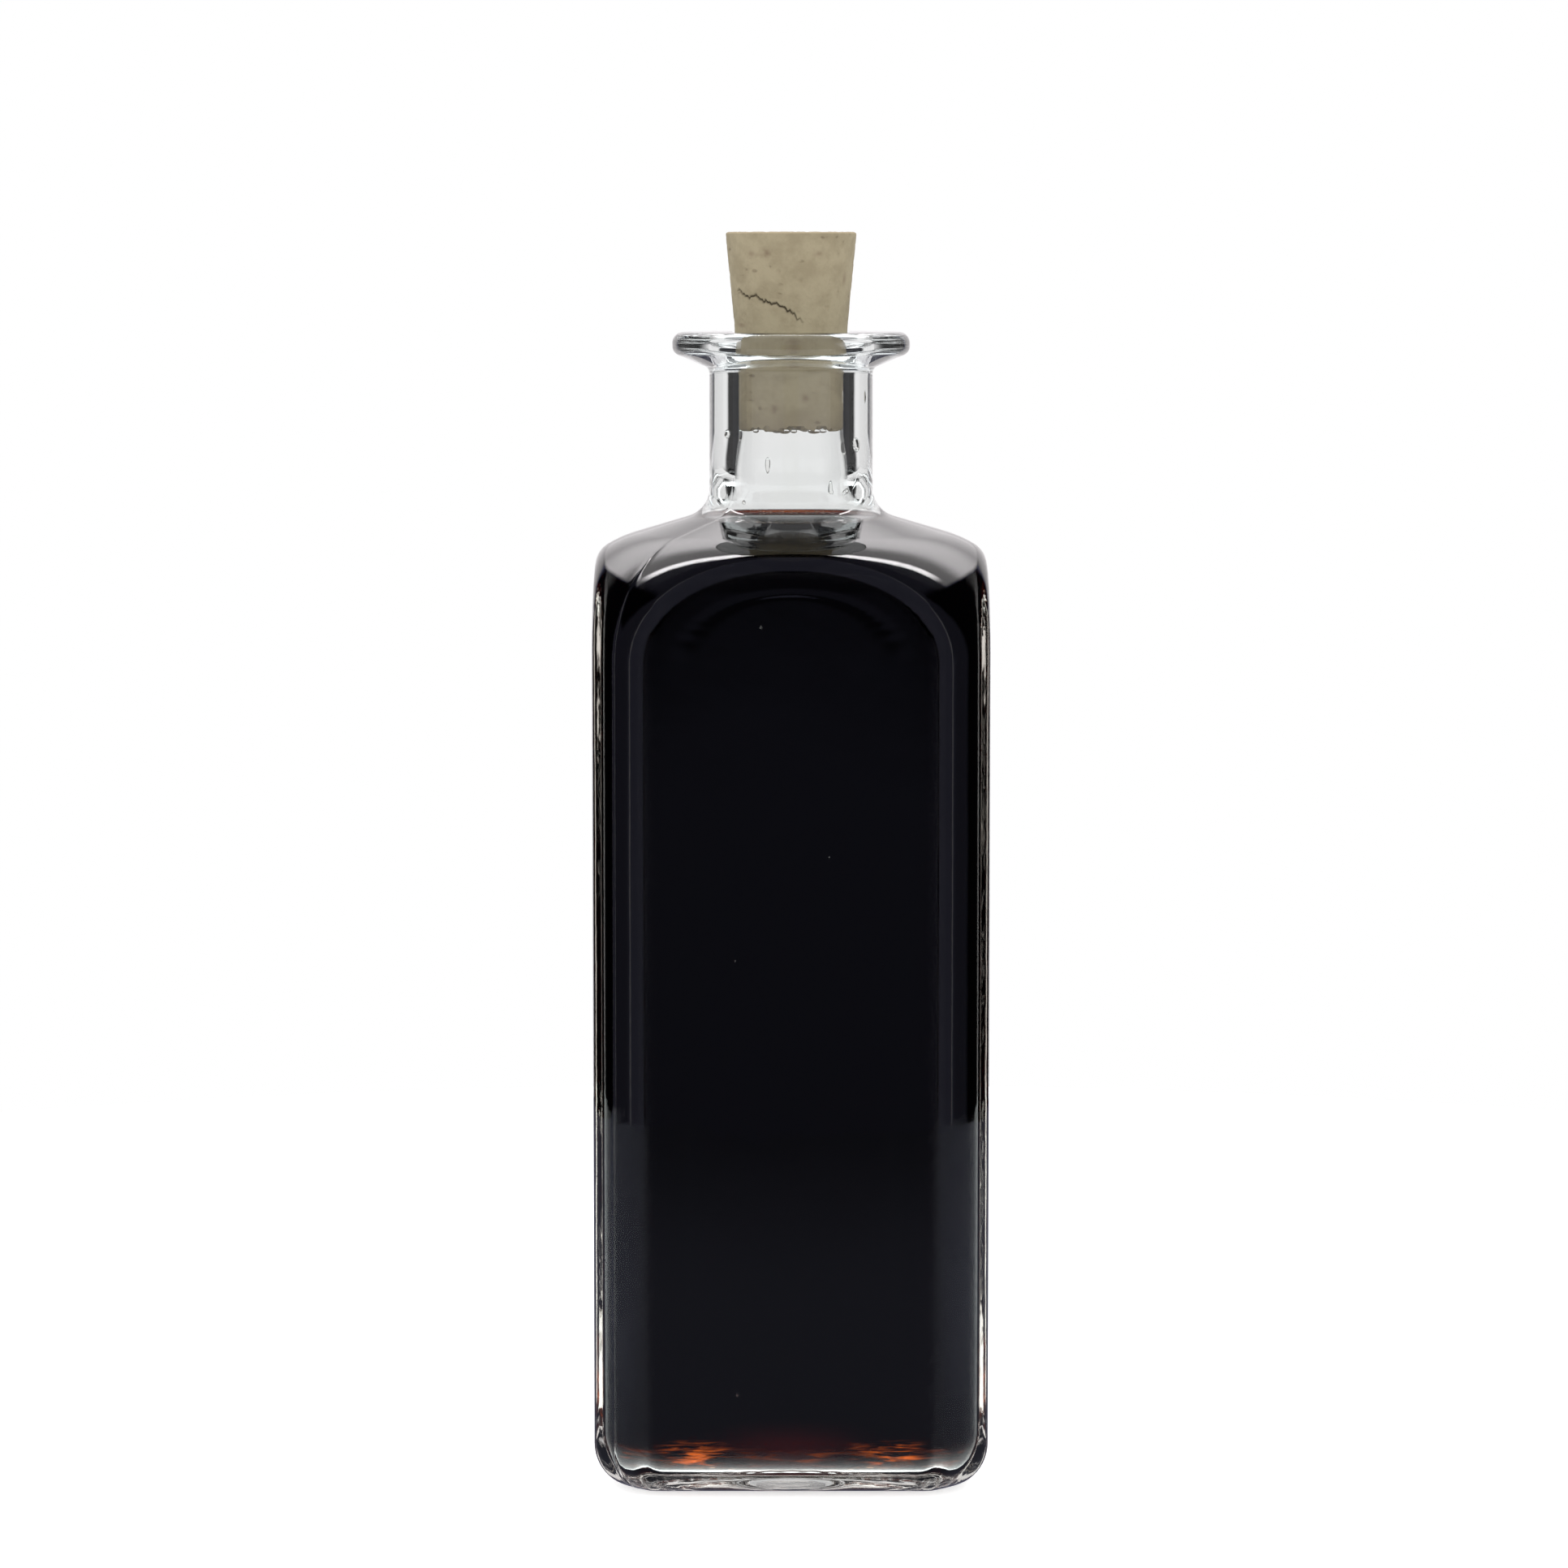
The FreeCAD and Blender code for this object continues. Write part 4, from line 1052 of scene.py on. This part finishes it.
def ceiling_light(tree, g, x, y, up, front):
    """Brightness of the soft light overhead, behind the bottle, and of the pale wall behind it.

    The light is a bright strip with a broad glow behind it and a little spill before it, and ends where the
    ceiling does.
    """
    above = maths(tree, "MAXIMUM", up, 0.02)
    aside = maths(tree, "ABSOLUTE", maths(tree, "DIVIDE", x, above))
    back = maths(tree, "DIVIDE", y, above)
    strip = chain(tree, "MULTIPLY", band(tree, back, STRIP_BACK), fade(tree, aside, *STRIP_ASIDE),
                  g.strip_light)
    glow = maths(tree, "MULTIPLY", band(tree, back, GLOW_BACK), g.glow_light)
    soft = chain(tree, "ADD", strip, glow, fade(tree, back, *SPILL_BACK, 0.0, SPILL_LIGHT))
    soft = chain(tree, "MULTIPLY", soft, fade(tree, aside, *CEILING_ASIDE), fade(tree, up, *CEILING_UP))
    wall = maths(tree, "MULTIPLY", fade(tree, front, *WALL_FRONT), fade(tree, up, *WALL_UP, 0.0, WALL_LIGHT))
    return maths(tree, "MAXIMUM", soft, wall), aside


def dim_light(tree, x, y, up, front, aside):
    """Brightness of the dim front: dark in the middle, grey beside it, with a thin edge and dark cards."""
    wide = maths(tree, "ABSOLUTE", x)
    inner = maths(tree, "MULTIPLY", fade(tree, up, *INNER_UP, *INNER_LIGHT), fade(tree, wide, *INNER_WIDE))
    dim = chain(tree, "MAXIMUM", inner, fade(tree, wide, *OUTER_WIDE, 0.0, OUTER_LIGHT),
                fade(tree, up, *OUTER_UP, 0.0, OUTER_LIGHT), fade(tree, y, *OUTER_BACK, 0.0, OUTER_LIGHT))
    dim = maths(tree, "MULTIPLY", dim, fade(tree, front, *GREY_FRONT, *GREY_LIGHT))
    dim = maths(tree, "MULTIPLY_ADD", band(tree, front, EDGE_FRONT), EDGE_LIGHT, dim)
    dark = chain(tree, "MULTIPLY", fade(tree, front, *DARK_FRONT), fade(tree, aside, *DARK_ASIDE), DARK_SHARE)
    left = maths(tree, "SUBTRACT", 1.0, dark)
    return chain(tree, "MULTIPLY", dim, left, fade(tree, front, *reversed(WALL_FRONT)))


def build_world(g):
    """White room with a soft light overhead behind the bottle, dark cards at the sides and a dim front.

    That room shows only in reflections. Seen through glass it is capped and lifted, surfaces without gloss
    are lit evenly from all round, and the camera sees plain white.
    """
    world = bpy.data.worlds.get("Room") or bpy.data.worlds.new("Room")
    bpy.context.scene.world = world
    world.use_nodes = True
    tree = world.node_tree
    tree.nodes.clear()
    way = node(tree, "ShaderNodeTexCoord").outputs["Generated"]
    x, y, up = node(tree, "ShaderNodeSeparateXYZ", {"Vector": way}).outputs
    squares = (maths(tree, "MULTIPLY", side, side) for side in (x, y))
    flat = maths(tree, "SQRT", chain(tree, "ADD", *squares))
    front = maths(tree, "DIVIDE", maths(tree, "MULTIPLY", y, -1.0), maths(tree, "MAXIMUM", flat, 0.0001))
    ceiling, aside = ceiling_light(tree, g, x, y, up, front)
    mirrored = maths(tree, "ADD", dim_light(tree, x, y, up, front, aside), ceiling)
    lifted = maths(tree, "MULTIPLY", fade(tree, front, *THROUGH_FRONT),
                   fade(tree, up, *THROUGH_UP, 0.0, THROUGH_LIGHT))
    through = maths(tree, "MAXIMUM", maths(tree, "MINIMUM", mirrored, THROUGH_MOST), lifted)
    even = maths(tree, "MULTIPLY_ADD", up, EVEN_RISE, EVEN_LIGHT)
    path = node(tree, "ShaderNodeLightPath").outputs
    # A ray refracted without blur counts as glossy too, so transmission is chosen after gloss.
    light = even
    bounced = maths(tree, "GREATER_THAN", path["Diffuse Depth"], 0.5)
    for share, seen in (
        (path["Is Glossy Ray"], mirrored), (path["Is Transmission Ray"], through), (bounced, even),
    ):
        light = node(tree, "ShaderNodeMix", {0: share, 2: light, 3: seen}, data_type="FLOAT").outputs[0]
    tone = mix_colour(tree, fade(tree, light, 0.25, 0.60), DIM_TONE, BRIGHT_TONE)
    tone = mix_colour(tree, path["Is Transmission Ray"], tone, THROUGH_TONE)
    tone = mix_colour(tree, path["Is Glossy Ray"], WHITE[:3], tone)
    shade = node(tree, "ShaderNodeBackground", {"Color": tone, "Strength": light})
    plain = node(tree, "ShaderNodeBackground", {"Color": WHITE, "Strength": 1.0})
    both = node(tree, "ShaderNodeMixShader", {0: path["Is Camera Ray"], 1: shade.outputs[0],
                                              2: plain.outputs[0]})
    node(tree, "ShaderNodeOutputWorld", {"Surface": both.outputs[0]})


def build_camera(g):
    data = bpy.data.cameras.new("Camera")
    data.lens = g.lens
    data.sensor_width = 36.0
    data.clip_end = 10.0
    made = bpy.data.objects.new("Camera", data)
    made.location = (-g.aside, -g.distance, g.height)
    made.rotation_euler = (math.pi / 2 - g.tilt, 0.0, 0.0)
    bpy.context.scene.collection.objects.link(made)
    bpy.context.scene.camera = made


# ---------------------------------------------------------------- operators


def finish_piece(made, slot, *nodes):
    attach(made, "root")
    if nodes:
        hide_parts(*nodes)


class BOTTLE_OT_glass(bpy.types.Operator):
    """Build the bottle's glass with its lip, arched panels, mould seam and stippled base"""
    bl_idname = "bottle.glass"
    bl_label = "Glass"

    def execute(self, context):
        finish_piece(build_glass(context.scene.bottle_glass), "clear_glass", "bottle_glass")
        finish_piece(build_bubbles(context.scene.bottle_glass), "clear_glass")
        return {"FINISHED"}


class BOTTLE_OT_drink(bpy.types.Operator):
    """Build the dark drink, the small bubbles along its surface and the drops in the neck"""
    bl_idname = "bottle.drink"
    bl_label = "Drink"

    def execute(self, context):
        glass, drink = context.scene.bottle_glass, context.scene.bottle_drink
        finish_piece(build_drink(glass, drink), "dark_drink", "drink")
        finish_piece(build_beads(glass, drink), "dark_drink")
        finish_piece(build_drops(glass), "clear_glass")
        return {"FINISHED"}


class BOTTLE_OT_cork(bpy.types.Operator):
    """Build the tapered cork with its crack, chips and stains"""
    bl_idname = "bottle.cork"
    bl_label = "Cork"

    def execute(self, context):
        finish_piece(build_cork(context.scene.bottle_glass, context.scene.bottle_cork), "cork", "cork")
        return {"FINISHED"}


class BOTTLE_OT_stage(bpy.types.Operator):
    """Set up the table, the white room and the camera"""
    bl_idname = "bottle.stage"
    bl_label = "Stage"

    def execute(self, context):
        scene = context.scene
        build_floor(scene.bottle_stage)
        build_world(scene.bottle_stage)
        build_camera(scene.bottle_stage)
        scene.view_settings.view_transform = "Standard"
        scene.cycles.max_bounces = 28
        scene.cycles.transmission_bounces = 24
        scene.cycles.glossy_bounces = 12
        scene.cycles.transparent_max_bounces = 16
        return {"FINISHED"}


class BOTTLE_PT_panel(bpy.types.Panel):
    """Builders and settings of the bottle"""
    bl_idname = "BOTTLE_PT_panel"
    bl_label = "Apothecary bottle"
    bl_space_type = "VIEW_3D"
    bl_region_type = "UI"
    bl_category = "Bottle"

    def draw(self, context):
        scene = context.scene
        for name, kind in SETTINGS.items():
            box = self.layout.box()
            box.operator(name.replace("_", "."))
            for setting in kind.__annotations__:
                box.prop(getattr(scene, name), setting)


SETTINGS = {
    "bottle_glass": BOTTLE_PG_glass, "bottle_drink": BOTTLE_PG_drink,
    "bottle_cork": BOTTLE_PG_cork, "bottle_stage": BOTTLE_PG_stage,
}
CLASSES = (
    *SETTINGS.values(), BOTTLE_OT_glass, BOTTLE_OT_drink, BOTTLE_OT_cork, BOTTLE_OT_stage, BOTTLE_PT_panel,
)


def register():
    for kind in CLASSES:
        bpy.utils.register_class(kind)
    for name, kind in SETTINGS.items():
        setattr(bpy.types.Scene, name, bpy.props.PointerProperty(type=kind))


def unregister():
    for name in SETTINGS:
        delattr(bpy.types.Scene, name)
    for kind in reversed(CLASSES):
        bpy.utils.unregister_class(kind)


def main():
    register()
    bpy.ops.bottle.glass()
    bpy.ops.bottle.drink()
    bpy.ops.bottle.cork()
    bpy.ops.bottle.stage()


if __name__ == "__main__":
    main()
